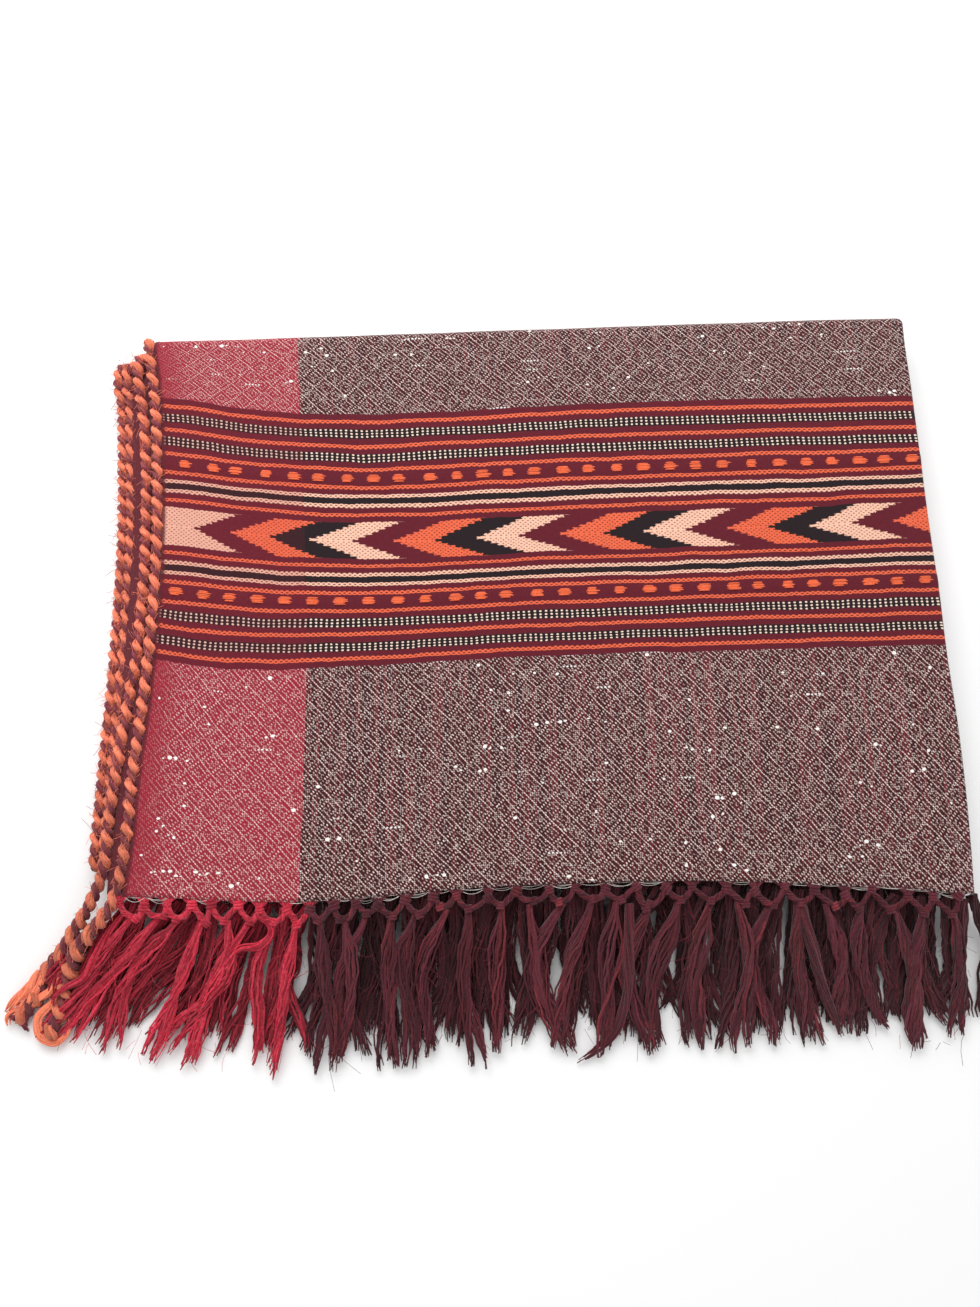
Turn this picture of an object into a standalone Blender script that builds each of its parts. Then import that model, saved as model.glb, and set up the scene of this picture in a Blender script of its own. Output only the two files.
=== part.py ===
"""Folded handwoven wool shawl: the top cloth, the folded plies under it, four twisted selvedge ropes
and two rows of knotted fringe.

Metres, +Z up. +X runs across the shawl, from the ropes to the fold, and +Y runs along it, from the
fringe to the far fold. The stack lies on its flat underside, and the origin is the bottom centre of
its bounding box.
"""
import math
from collections import namedtuple

import bmesh
import bpy
import numpy as np

NAME = "folded_shawl"

# Driving sizes of the cloth and the stack.
PLY = 0.00215          # one ply with the air round it
WALL = 0.0018          # thickness of the woven cloth
SEAM = 0.0003          # clearance between neighbouring pieces
STACK = 12 * PLY       # height of the twelve plies
FAR_RADIUS = 4 * PLY   # the far fold turns eight plies
FAR_AXIS_Z = STACK - FAR_RADIUS
LIP_RADIUS = PLY       # the side fold of the top cloth turns two plies
WRAP_END = math.radians(150)
PLATEAU = STACK - WALL - 0.0011

# Selvedge ropes.
ROPE_RADIUS = 0.0030
ROPE_STEP = 0.00575    # one segment of the two-coloured twist
ROPE_TO_CLOTH = ROPE_RADIUS + 2.5 * SEAM

# Fringe.
LOCK_PITCH = 0.0137
ROOT_WIDTH = 0.0061
LOCK_WIDTH = 0.0084
LOCK_LENGTH = 0.098
STRIP_DEPTH = 0.0026

# Edges of the top cloth seen from above: where each lies at a place along the shawl.
SideRow = namedtuple("SideRow", "y rope_x fold_x")
SIDES = (
    SideRow(-0.150, -0.2180, 0.2812),
    SideRow(-0.105, -0.2142, 0.2827),
    SideRow(-0.075, -0.2139, 0.2829),
    SideRow(-0.040, -0.2114, 0.2822),
    SideRow(0.000, -0.2100, 0.2802),
    SideRow(0.040, -0.2092, 0.2795),
    SideRow(0.080, -0.2107, 0.2777),
    SideRow(0.140, -0.2152, 0.2761),
    SideRow(0.175, -0.2193, 0.2752),
    SideRow(0.212, -0.2262, 0.2738),
    SideRow(0.235, -0.2280, 0.2740),
)

# Lines of the weave seen from above: where each lies at a place across the shawl.
WeaveRow = namedtuple("WeaveRow", "x hem band_low band_high far_fold")
WEAVE = (
    WeaveRow(-0.250, -0.1440, -0.0020, 0.1722, 0.2142),
    WeaveRow(-0.205, -0.1452, -0.0030, 0.1703, 0.2152),
    WeaveRow(-0.115, -0.1480, -0.0083, 0.1655, 0.2183),
    WeaveRow(0.000, -0.1396, -0.0065, 0.1624, 0.2227),
    WeaveRow(0.130, -0.1362, -0.0010, 0.1665, 0.2278),
    WeaveRow(0.220, -0.1395, 0.0020, 0.1696, 0.2309),
    WeaveRow(0.290, -0.1440, 0.0036, 0.1720, 0.2329),
)

# Rows of the top cloth's net: how far each lies between two lines of the weave, and how much the
# thick inlay yarn lifts it.
NetRow = namedtuple("NetRow", "start end share lift")
INLAY_LIFT = 0.0006
HEM_TO_BAND = [NetRow("hem", "band_low", k / 8, 0.0) for k in range(8)]
BAND = [
    NetRow("band_low", "band_high", share, INLAY_LIFT * thick)
    for share, thick in (
        (0.0, 0), (0.12, 0), (0.222, 0), (0.238, 1), (0.276, 1), (0.292, 0), (0.40, 0), (0.5, 0),
        (0.60, 0), (0.708, 0), (0.724, 1), (0.762, 1), (0.778, 0), (0.88, 0),
    )
]
BAND_TO_FOLD = [NetRow("band_high", "far_fold", k / 4, 0.0) for k in range(5)]
COLUMNS = 22
INNER_COLUMNS = 8
LIP_ANGLES = (18, 52, 90, 128, 162, 180)

# Soft hollows and swells of the top cloth: centre, half sizes and height.
Swell = namedtuple("Swell", "x y half_x half_y height")
SWELLS = (
    Swell(0.236, -0.070, 0.016, 0.075, -0.0006),
    Swell(0.262, -0.060, 0.012, 0.090, 0.0007),
    Swell(-0.185, -0.060, 0.014, 0.030, 0.0008),
    Swell(-0.192, 0.060, 0.012, 0.040, 0.0006),
    Swell(-0.120, -0.110, 0.060, 0.030, 0.0005),
    Swell(0.070, -0.118, 0.080, 0.022, 0.0006),
    Swell(-0.060, 0.195, 0.120, 0.020, 0.0005),
    Swell(0.150, 0.080, 0.070, 0.090, 0.0005),
    Swell(-0.030, 0.030, 0.090, 0.030, -0.0004),
)

# Routes of the ropes: x, y and height of each point. The top two end in free tails.
ROPE_HIGH = STACK - 0.0013
ROPE_MID = 0.0209
FLOOR_LINE = ROPE_RADIUS + 0.0006
TAIL_OUTER = (
    (-0.2575, -0.2240, FLOOR_LINE),
    (-0.2527, -0.2112, FLOOR_LINE + 0.0006),
    (-0.2471, -0.1929, 0.0082),
    (-0.2415, -0.1756, 0.0142),
    (-0.2304, -0.1623, 0.0200),
    (-0.2205, -0.1500, 0.0238),
)
TAIL_INNER = (
    (-0.2795, -0.2157, FLOOR_LINE),
    (-0.2708, -0.2029, FLOOR_LINE),
    (-0.2655, -0.1888, 0.0048),
    (-0.2546, -0.1760, 0.0088),
    (-0.2450, -0.1626, 0.0145),
    (-0.2345, -0.1482, 0.0196),
)
INNER_ROUTE = (
    (-0.2279, -0.1300, ROPE_MID),
    (-0.2270, -0.1030, ROPE_MID),
    (-0.2248, -0.0700, ROPE_MID),
    (-0.2222, -0.0400, ROPE_MID),
    (-0.2184, 0.0000, ROPE_MID),
    (-0.2177, 0.0400, ROPE_MID),
    (-0.2190, 0.0800, ROPE_MID),
    (-0.2232, 0.1330, ROPE_MID),
    (-0.2275, 0.1650, ROPE_MID),
    (-0.2325, 0.1880, ROPE_MID),
    (-0.2340, 0.1995, 0.0190),
    (-0.2342, 0.2043, 0.0160),
    (-0.2337, 0.2051, 0.0128),
)
UnderRow = namedtuple("UnderRow", "y x")
UNDER_LINE = (
    UnderRow(-0.135, -0.2379),
    UnderRow(-0.090, -0.2381),
    UnderRow(-0.054, -0.2377),
    UnderRow(-0.015, -0.2368),
    UnderRow(0.020, -0.2372),
    UnderRow(0.080, -0.2384),
    UnderRow(0.140, -0.2432),
    UnderRow(0.200, -0.2486),
)
UNDER_PITCH = 0.0062        # from one rope of the under pair to the other
UNDER_TURN_Y = -0.1240
UNDER_END_Y = 0.1995
UNDER_LOW = ROPE_RADIUS + 0.0004

# Folds seen at the stack's sides: each turns the plies between two heights.
NEAR_ROLL_Y = -0.1372       # the fold under the fringe
FIRST_FOLD_SETBACK = 0.0016
RIDGE_DEPTH = 0.0017
CORNER = 0.006

COLOURS = {
    "brown_wool": (0.144, 0.069, 0.072),
    "rope_wool": (0.55, 0.13, 0.06),
    "fringe_wool": (0.15, 0.018, 0.03),
}


def smooth_step(x, low, high):
    """Rise from 0 at low to 1 at high."""
    t = min(1.0, max(0.0, (x - low) / (high - low)))
    return t * t * (3 - 2 * t)


def curve_value(x, xs, ys):
    """Read a smooth curve through the points (xs, ys) at x."""
    xs, ys = np.asarray(xs, float), np.asarray(ys, float)
    slopes = np.gradient(ys, xs)
    x = min(max(x, xs[0]), xs[-1])
    k = min(int(np.searchsorted(xs, x, side="right")) - 1, len(xs) - 2)
    k = max(k, 0)
    step = xs[k + 1] - xs[k]
    t = (x - xs[k]) / step
    return float(
        (1 + 2 * t) * (1 - t) ** 2 * ys[k]
        + t * (1 - t) ** 2 * step * slopes[k]
        + t * t * (3 - 2 * t) * ys[k + 1]
        + t * t * (t - 1) * step * slopes[k + 1]
    )


def rope_x(y):
    """Centre of the outer rope beside the top cloth."""
    return curve_value(y, [r.y for r in SIDES], [r.rope_x for r in SIDES])


def cloth_left(y):
    """Selvedge of the top cloth."""
    return rope_x(y) + ROPE_TO_CLOTH


def cloth_right(y):
    """Side fold of the top cloth."""
    return curve_value(y, [r.y for r in SIDES], [r.fold_x for r in SIDES])


def inner_x(y):
    """Centre of the inner rope beside the cloth."""
    rows = [p for p in INNER_ROUTE if p[1] < UNDER_END_Y + 0.002]
    return curve_value(y, [p[1] for p in rows], [p[0] for p in rows])


def under_x(y):
    """Centre of the under pair's outer rope."""
    return curve_value(y, [r.y for r in UNDER_LINE], [r.x for r in UNDER_LINE])


def weave_y(line, x):
    """Place of a named line of the weave along the shawl."""
    return curve_value(x, [r.x for r in WEAVE], [getattr(r, line) for r in WEAVE])


def far_axis_y(x):
    """Axis of the far fold."""
    return weave_y("far_fold", x) - FAR_RADIUS


def swell_height(x, y):
    """Soft rise and fall of the top cloth."""
    total = 0.0
    for s in SWELLS:
        total += s.height * math.exp(-(((x - s.x) / s.half_x) ** 2) - ((y - s.y) / s.half_y) ** 2)
    return total


def loft(bm, sections):
    """Join closed sections of equal length into an open tube, and give its rings of points."""
    rings = [[bm.verts.new(p) for p in section] for section in sections]
    count = len(rings[0])
    for low, high in zip(rings, rings[1:]):
        for i in range(count):
            j = (i + 1) % count
            bm.faces.new((low[i], low[j], high[j], high[i]))
    return rings


def flat_ends(bm, rings):
    """Close both ends of a tube with one face each."""
    bm.faces.new(reversed(rings[0]))
    bm.faces.new(rings[-1])


def cut_edge(bm, ring):
    """Close a cloth section's cut edge: a strip of faces between its outer and inner points."""
    turned = len(LIP_ANGLES)
    outer = ring[:COLUMNS + turned]
    inner = ring[COLUMNS + turned:][::-1]
    outer_at = list(np.linspace(0, 1, COLUMNS)) + [1.0 + k for k in range(1, turned + 1)]
    inner_at = list(np.linspace(0, 1, INNER_COLUMNS)) + [1.0 + k for k in range(1, turned + 1)]
    i = j = 0
    while i < len(outer) - 1 or j < len(inner) - 1:
        step_outer = j == len(inner) - 1 or (i < len(outer) - 1 and outer_at[i + 1] <= inner_at[j + 1])
        if step_outer:
            bm.faces.new((outer[i], outer[i + 1], inner[j]))
            i += 1
        else:
            bm.faces.new((outer[i], inner[j + 1], inner[j]))
            j += 1


def add_part(name, bm, colour, roughness=0.9):
    """Turn a bmesh into a named object with its own material."""
    bmesh.ops.recalc_face_normals(bm, faces=bm.faces[:])
    mesh = bpy.data.meshes.new(name)
    bm.to_mesh(mesh)
    bm.free()
    mesh.shade_smooth()
    mesh.set_sharp_from_angle(angle=math.radians(50))
    part = bpy.data.objects.new(name, mesh)
    bpy.data.collections[NAME].objects.link(part)
    material = bpy.data.materials.new(name + "_finish")
    material.use_nodes = True
    shader = material.node_tree.nodes["Principled BSDF"]
    shader.inputs["Base Color"].default_value = (*COLOURS[colour], 1.0)
    shader.inputs["Roughness"].default_value = roughness
    shader.inputs["Metallic"].default_value = 0.0
    mesh.materials.append(material)
    return part


def cloth_section(row):
    """One closed section across the top cloth, on a line of the weave."""
    def place(x, depth):
        start, end = weave_y(row.start, x), weave_y(row.end, x)
        if row.end == "far_fold":
            end -= FAR_RADIUS
        y = start + row.share * (end - start)
        return y, STACK + swell_height(x, y) + row.lift - depth

    left = cloth_left(place(cloth_left(place(0.0, 0.0)[0]), 0.0)[0])
    right = cloth_right(place(0.28, 0.0)[0]) - LIP_RADIUS
    turn = 1.0
    if row.end == "far_fold":
        turn = 1.0 - 0.72 * smooth_step(row.share, 0.0, 1.0)
    outer = [(x, *place(x, 0.0)) for x in np.linspace(left, right, COLUMNS)]
    inner = [(x, *place(x, WALL)) for x in np.linspace(left, right, INNER_COLUMNS)]
    lip_y, lip_top = place(right, 0.0)
    return close_section(outer, inner, right, lip_y, lip_top - LIP_RADIUS, turn)


def close_section(outer, inner, lip_x, lip_y, lip_z, turn):
    """Join the outer points, the rolled lip and the inner points of a section."""
    lip = []
    for radius, angles in ((LIP_RADIUS, LIP_ANGLES), (LIP_RADIUS - WALL, LIP_ANGLES[::-1])):
        for degrees in angles:
            a = math.radians(degrees) * turn
            lip.append((lip_x + radius * math.sin(a), lip_y, lip_z + radius * math.cos(a)))
    return outer + lip + inner[::-1]


def wrapped_section(angle):
    """The last flat section, turned about the far fold's axis."""
    flat = cloth_section(BAND_TO_FOLD[-1])
    section = []
    for x, y, z in flat:
        fade = 1.0 - smooth_step(angle, 0.0, math.radians(60))
        reach = FAR_RADIUS + (z - STACK)
        if reach > FAR_RADIUS:
            reach = FAR_RADIUS + (z - STACK) * fade
        section.append(
            (x, far_axis_y(x) + reach * math.sin(angle), FAR_AXIS_Z + reach * math.cos(angle))
        )
    return section


def build_top_cloth():
    """The ply that shows: hem, band, side fold and the roll over the far fold."""
    sections = [cloth_section(row) for row in HEM_TO_BAND + BAND + BAND_TO_FOLD]
    turns = 7
    sections += [wrapped_section(WRAP_END * k / turns) for k in range(1, turns + 1)]
    bm = bmesh.new()
    rings = loft(bm, sections)
    cut_edge(bm, rings[0])
    cut_edge(bm, rings[-1])
    return add_part("top_cloth", bm, "brown_wool")


def roll_depth(z, low, high, cap):
    """How far a round fold between two heights stands back at height z."""
    radius = (high - low) / 2
    rise = min(abs(z - (low + high) / 2), radius)
    return min(cap, radius - math.sqrt(radius * radius - rise * rise))


def ridge_depth(z, plies):
    """How far the side of the stack stands back between ridges of so many plies."""
    height = plies * PLY
    return roll_depth(z % height, 0.0, height, RIDGE_DEPTH)


def stack_left(y, z):
    """Selvedge side of the hidden plies."""
    if z > 10 * PLY - SEAM - 1e-6:
        return cloth_left(y) + SEAM
    tucked = cloth_left(y) + SEAM
    if z > 8 * PLY + 1e-6:
        wide = inner_x(y) + ROPE_RADIUS + 2.5 * SEAM
        return wide + ridge_depth(z, 1) + (tucked - wide) * smooth_step(y, 0.1895, 0.2005)
    wide = under_x(y) + UNDER_PITCH + ROPE_RADIUS + SEAM
    clear = smooth_step(y, 0.1855, 0.1995) if z > 4 * PLY + 1e-6 else 0.0
    return wide + ridge_depth(z, 1) + (tucked - wide) * clear


def stack_right(y, z):
    """Fold side of the hidden plies."""
    edge = cloth_right(y)
    if z > 10 * PLY - SEAM + 1e-6:
        return edge - LIP_RADIUS - 0.0012
    wander = 0.0007 * math.sin(1.7 + 900 * z) * math.cos(14 * y + 500 * z)
    return edge - 0.0006 + wander - ridge_depth(z, 2)


def stack_front(x, z):
    """Fringe side of the hidden plies: the near roll, and the hem of the upper third."""
    if z > 8 * PLY + 1e-6:
        return weave_y("hem", x) + 0.0007
    return NEAR_ROLL_Y + 0.0006 * math.sin(17 * x) + roll_depth(z, 0.0, 8 * PLY, 3.2 * PLY)


def stack_back(x, z):
    """Far side of the hidden plies: the first fold below and the far fold above."""
    if z < 4 * PLY + 1e-6:
        return weave_y("far_fold", x) - FIRST_FOLD_SETBACK - roll_depth(z, 0.0, 4 * PLY, 2 * PLY)
    radius = FAR_RADIUS - WALL - 0.0005
    rise = min(abs(z - FAR_AXIS_Z), radius)
    return far_axis_y(x) + math.sqrt(radius * radius - rise * rise)


def stack_ring(z):
    """One level outline of the hidden plies, a rounded rectangle pulled to the four sides."""
    corner_x, corner_y = CORNER / 0.245, CORNER / 0.18
    across = np.linspace(-1 + corner_x, 1 - corner_x, 12)
    along = np.linspace(-1 + corner_y, 1 - corner_y, 12)
    bend = [(math.sin(a), math.cos(a)) for a in (math.radians(30), math.radians(60))]
    square = [(a, -1) for a in across]
    square += [(1 - corner_x * (1 - s), -1 + corner_y * (1 - c)) for s, c in bend]
    square += [(1, b) for b in along]
    square += [(1 - corner_x * (1 - c), 1 - corner_y * (1 - s)) for s, c in bend]
    square += [(a, 1) for a in across[::-1]]
    square += [(-1 + corner_x * (1 - s), 1 - corner_y * (1 - c)) for s, c in bend]
    square += [(-1, b) for b in along[::-1]]
    square += [(-1 + corner_x * (1 - c), -1 + corner_y * (1 - s)) for s, c in bend]
    ring = []
    for a, b in square:
        y = 0.04 + 0.18 * b
        for _ in range(3):
            left, right = stack_left(y, z), stack_right(y, z)
            x = left + (a + 1) / 2 * (right - left)
            front, back = stack_front(x, z), stack_back(x, z)
            y = front + (b + 1) / 2 * (back - front)
        ring.append((x, y, z))
    return ring


def build_folded_layers():
    """The eleven plies under the top cloth, as one solid with a ridge for each fold at its sides."""
    levels = []
    for ridge in range(5):
        for share in (0.0, 0.14, 0.5, 0.86):
            levels.append(2 * PLY * (ridge + share))
    step = 8 * PLY
    levels += [step + 0.0002, 10 * PLY - SEAM - 0.0002, 10 * PLY - SEAM + 0.0002, PLATEAU]
    bm = bmesh.new()
    flat_ends(bm, loft(bm, [stack_ring(z) for z in sorted(levels)]))
    return add_part("folded_layers", bm, "brown_wool")


def even_points(route, step):
    """Points at even steps along a smooth curve through the route."""
    route = np.asarray(route, float)
    knots = np.concatenate([[0], np.cumsum(np.linalg.norm(np.diff(route, axis=0), axis=1))])
    fine = np.linspace(0, knots[-1], 1200)
    dense = np.array([[curve_value(s, knots, route[:, k]) for k in range(3)] for s in fine])
    length = np.concatenate([[0], np.cumsum(np.linalg.norm(np.diff(dense, axis=0), axis=1))])
    count = max(2, round(length[-1] / step))
    wanted = np.linspace(0, length[-1], count + 1)
    return np.array([[np.interp(s, length, dense[:, k]) for k in range(3)] for s in wanted])


def build_rope(name, route):
    """A two-ply rope: a four-sided section that turns an eighth at each segment."""
    points = even_points(route, ROPE_STEP)
    points[:, 2] = np.maximum(points[:, 2], ROPE_RADIUS + SEAM)
    tangents = np.gradient(points, axis=0)
    tangents /= np.linalg.norm(tangents, axis=1)[:, None]
    side = np.cross(tangents[0], (0.0, 0.0, 1.0))
    side /= np.linalg.norm(side)
    sections = []
    for i, (point, tangent) in enumerate(zip(points, tangents)):
        side = side - tangent * side.dot(tangent)
        side /= np.linalg.norm(side)
        lift = np.cross(side, tangent)
        turn = math.radians(45) * i
        section = []
        for k in range(4):
            a = turn + math.radians(90) * k
            section.append(point + ROPE_RADIUS * (math.cos(a) * side + math.sin(a) * lift))
        sections.append(section)
    bm = bmesh.new()
    flat_ends(bm, loft(bm, sections))
    return add_part(name, bm, "rope_wool")


def outer_route():
    """Tail, selvedge of the top ply, and the turn over the far fold."""
    route = list(TAIL_OUTER)
    route += [(rope_x(y), y, ROPE_HIGH) for y in np.linspace(-0.135, 0.190, 12)]
    x = rope_x(far_axis_y(-0.225)) - SEAM
    radius = ROPE_HIGH - FAR_AXIS_Z
    for degrees in (0, 35, 70, 105, 135):
        a = math.radians(degrees)
        reach = far_axis_y(x) + radius * math.sin(a)
        route.append((x - 0.001 * a, reach, FAR_AXIS_Z + radius * math.cos(a)))
    return route


def inner_route():
    """Tail and selvedge of the second ply, tucked down at the far fold."""
    return list(TAIL_INNER) + list(INNER_ROUTE)


def under_route(shift, top_z):
    """A rope of the lower third: along the top, round the near fold and back on the surface."""
    ys = np.linspace(UNDER_END_Y, UNDER_TURN_Y, 11)
    route = [(under_x(ys[0]) + shift + 0.0008, ys[0] + 0.0020, top_z - 0.0012)]
    route += [(under_x(y) + shift, y, top_z) for y in ys]
    radius = (top_z - UNDER_LOW) / 2
    for degrees in (30, 60, 90, 120, 150):
        a = math.radians(degrees)
        z = UNDER_LOW + radius + radius * math.cos(a)
        route.append((under_x(UNDER_TURN_Y) + shift, UNDER_TURN_Y - radius * math.sin(a), z))
    route += [(under_x(y) + shift, y, UNDER_LOW) for y in ys[::-1]]
    return route


def lock_lean(x):
    """How far a fringe lock leans: left at the rope side, straight down further on."""
    left = -29.0 * (1.0 - smooth_step(x, -0.150, -0.065))
    return math.radians(left + 5.0 * smooth_step(x, 0.18, 0.27))


def lock_stations(x, y, z_root, z_tip, fall, number):
    """Centre, width and thickness of a lock's sections, from the root to the tip."""
    lean = lock_lean(x)
    length = LOCK_LENGTH * (1.0 + 0.05 * math.sin(2.3 * number) + 0.03 * math.sin(5.1 * number + 1))
    stations = []
    for share, width, thick in (
        (0.10, 0.62, 0.0030), (0.38, 1.0, 0.0026), (0.72, 0.92, 0.0022), (1.0, 0.35, 0.0012),
    ):
        run = length * share
        sway = 0.0012 * math.sin(1.9 * number) * share
        z = z_tip + (z_root - z_tip) * (1 - share) ** fall
        place = (x + run * math.sin(lean) + sway, y - run * math.cos(lean), z)
        stations.append((place, LOCK_WIDTH * width, thick, lean))
    return stations


def build_fringe(name, z_low, z_high, z_tip, fall, shift):
    """A narrow strip of knots along the hem, with a lock growing out of every knot."""
    bm = bmesh.new()
    start, end = cloth_left(-0.146) + 0.0035, cloth_right(-0.146) - 0.0055
    count = int((end - start - shift) / LOCK_PITCH)
    edges = []
    for k in range(count + 1):
        x = start + shift + (k + 0.5) * LOCK_PITCH
        edges += [x - ROOT_WIDTH / 2, x + ROOT_WIDTH / 2]
    rows = []
    for x in edges:
        back = weave_y("hem", x) - 2 * SEAM
        front = back - STRIP_DEPTH
        corners = ((x, front, z_high), (x, front, z_low), (x, back, z_low), (x, back, z_high))
        rows.append([bm.verts.new(p) for p in corners])
    bm.faces.new(reversed(rows[0]))
    bm.faces.new(rows[-1])
    for k, (a, b) in enumerate(zip(rows, rows[1:])):
        for i in (1, 2, 3):
            j = (i + 1) % 4
            bm.faces.new((a[i], a[j], b[j], b[i]))
        if k % 2:
            bm.faces.new((a[0], a[1], b[1], b[0]))
            continue
        x = (edges[k] + edges[k + 1]) / 2
        y = weave_y("hem", x) - 2 * SEAM - STRIP_DEPTH
        ring = [a[0], a[1], b[1], b[0]]
        z_root = (z_low + z_high) / 2
        for place, width, thick, lean in lock_stations(x, y, z_root, z_tip, fall, k // 2):
            dx, dy = width / 2 * math.cos(lean), width / 2 * math.sin(lean)
            px, py, pz = place
            new = [
                bm.verts.new((px - dx, py - dy, pz + thick / 2)),
                bm.verts.new((px - dx, py - dy, pz - thick / 2)),
                bm.verts.new((px + dx, py + dy, pz - thick / 2)),
                bm.verts.new((px + dx, py + dy, pz + thick / 2)),
            ]
            for i in range(4):
                j = (i + 1) % 4
                bm.faces.new((ring[i], ring[j], new[j], new[i]))
            ring = new
        bm.faces.new(ring)
    return add_part(name, bm, "fringe_wool")


def settle(parts):
    """Move all parts together, so that the origin is the bottom centre of their bounding box."""
    corners = np.array([v.co[:] for part in parts for v in part.data.vertices])
    low, high = corners.min(axis=0), corners.max(axis=0)
    offset = np.array([(low[0] + high[0]) / 2, (low[1] + high[1]) / 2, low[2]])
    for part in parts:
        for v in part.data.vertices:
            v.co = [c - o for c, o in zip(v.co, offset)]


def main():
    """Build the shawl."""
    for old in list(bpy.data.objects):
        bpy.data.objects.remove(old, do_unlink=True)
    collection = bpy.data.collections.new(NAME)
    bpy.context.scene.collection.children.link(collection)
    parts = [
        build_top_cloth(),
        build_folded_layers(),
        build_rope("selvedge_rope_outer", outer_route()),
        build_rope("selvedge_rope_inner", inner_route()),
        build_rope("under_rope_inner", under_route(UNDER_PITCH, 0.0140)),
        build_rope("under_rope_outer", under_route(0.0, 0.0120)),
        build_fringe("fringe_upper", STACK - 0.0040, STACK - 0.0006, 0.0050, 1.6, 0.0),
        build_fringe("fringe_lower", 8 * PLY + 0.0006, 10 * PLY - 0.0008, 0.0016, 2.0, LOCK_PITCH / 2),
    ]
    settle(parts)


if __name__ == "__main__":
    main()
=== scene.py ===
"""Folded handwoven wool shawl: its woven plies, twisted selvedge ropes and knotted fringe.

Metres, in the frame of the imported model. +X runs across the shawl, from the ropes to the side fold,
+Y along it, from the fringe to the far fold, and +Z up through the plies.
"""
import logging
import math
from dataclasses import dataclass
from enum import Enum
from typing import Callable, NamedTuple, Sequence, Union

import bpy
import numpy as np
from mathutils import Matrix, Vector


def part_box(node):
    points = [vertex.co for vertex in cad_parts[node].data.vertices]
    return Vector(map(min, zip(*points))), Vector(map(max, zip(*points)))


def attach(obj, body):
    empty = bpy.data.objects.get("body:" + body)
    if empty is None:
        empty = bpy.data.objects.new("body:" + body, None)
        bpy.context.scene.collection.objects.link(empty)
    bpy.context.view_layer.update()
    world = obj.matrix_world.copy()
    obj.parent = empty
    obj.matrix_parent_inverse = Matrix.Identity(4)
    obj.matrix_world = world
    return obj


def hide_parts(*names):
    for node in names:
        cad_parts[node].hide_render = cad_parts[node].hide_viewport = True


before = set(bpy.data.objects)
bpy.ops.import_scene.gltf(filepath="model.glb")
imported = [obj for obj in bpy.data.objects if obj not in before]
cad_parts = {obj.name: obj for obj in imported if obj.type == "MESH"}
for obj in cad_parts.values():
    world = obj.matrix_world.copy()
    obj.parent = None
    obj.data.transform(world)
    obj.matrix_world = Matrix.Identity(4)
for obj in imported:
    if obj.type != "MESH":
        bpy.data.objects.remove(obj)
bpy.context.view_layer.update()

LOG = logging.getLogger("shawl")

Array = np.ndarray
Socket = bpy.types.NodeSocket
Value = Union[float, Socket]

# Stack of plies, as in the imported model.
PLY = 0.00215
STACK = 12 * PLY
FAR_RADIUS = 4 * PLY
FAR_AXIS_Z = STACK - FAR_RADIUS
ROPE_RADIUS = 0.0030
SEAM = 0.0003
ROPE_TO_CLOTH = ROPE_RADIUS + 2.5 * SEAM
ROPE_HIGH = STACK - 0.0013
ROPE_MID = 0.0209
FLOOR_LINE = ROPE_RADIUS + 0.0006
NEAR_ROLL_Y = -0.1372
FIRST_FOLD_SETBACK = 0.0016
UNDER_PITCH = 0.0062
UNDER_SHIFT = 0.0013
UNDER_TURN_Y = -0.1240
UNDER_END_Y = 0.1995
UNDER_LOW = ROPE_RADIUS + 0.0004
INLAY_LIFT = 0.0005
CLOTH_THICK = 0.0015
ROUGH_LEFT = -0.21         # where the search for a row's two sides starts
ROUGH_RIGHT = 0.28
NEAR_HEM_Y = -0.146        # along the shawl, where the knots' places are counted
KNOT_PITCH = 0.0137
LOCK_STEP = 0.0016
UNDER_INNER_HIGH = 0.0140
UNDER_OUTER_HIGH = 0.0120
FLOOR_CLEAR = 0.0010       # the middle of a yarn on the surface
LEAST_LENGTH = 1e-12       # keeps a division by a length safe
X_AXIS = np.array([1.0, 0.0, 0.0])
Z_AXIS = np.array([0.0, 0.0, 1.0])

# The whole cut, and where its band lies along it.
CLOTH_WIDTH = 1.0
CLOTH_LENGTH = 2.1
HEM_TO_BAND = 0.1385
BAND_HEIGHT = 0.1700
BAND_TO_FOLD = 0.0560
RED_STRIPE = 0.0945
HALF_WIDTH = 0.49          # of the cloth, from a selvedge to the side fold
WARP_THREAD = 0.00115      # a pair of warp ends
WEFT_THREAD = 0.00122      # a pair of picks

# Outlines seen from above: the outer rope and the side fold at a place along the shawl.
SIDE_Y = (-0.150, -0.105, -0.075, -0.040, 0.000, 0.040, 0.080, 0.140, 0.175, 0.212, 0.235)
ROPE_X = (-0.2180, -0.2142, -0.2139, -0.2114, -0.2100, -0.2092, -0.2107, -0.2152, -0.2193, -0.2262,
          -0.2280)
FOLD_X = (0.2812, 0.2827, 0.2829, 0.2822, 0.2802, 0.2795, 0.2777, 0.2761, 0.2752, 0.2738, 0.2740)

# Lines of the weave seen from above, at a place across the shawl.
WEAVE_X = (-0.250, -0.205, -0.115, 0.000, 0.130, 0.220, 0.290)
HEM_Y = (-0.1440, -0.1452, -0.1480, -0.1396, -0.1362, -0.1395, -0.1440)
FAR_FOLD_Y = (0.2142, 0.2152, 0.2183, 0.2227, 0.2278, 0.2309, 0.2329)
STRIPE_Y = (-0.1510, -0.1230, -0.0091, 0.0800, 0.1610, 0.2149)
STRIPE_X = (-0.1108, -0.1111, -0.1123, -0.1170, -0.1231, -0.1272)
BAND_X = (-0.215, -0.195, -0.170, -0.140, -0.110, -0.080, -0.050, 0.000, 0.050, 0.100, 0.160, 0.220,
          0.280)
BAND_LOW_Y = (-0.0028, -0.0055, -0.0088, -0.0099, -0.0093, -0.0079, -0.0064, -0.0032, -0.0009,
              0.0006, 0.0023, 0.0042, 0.0056)
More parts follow.
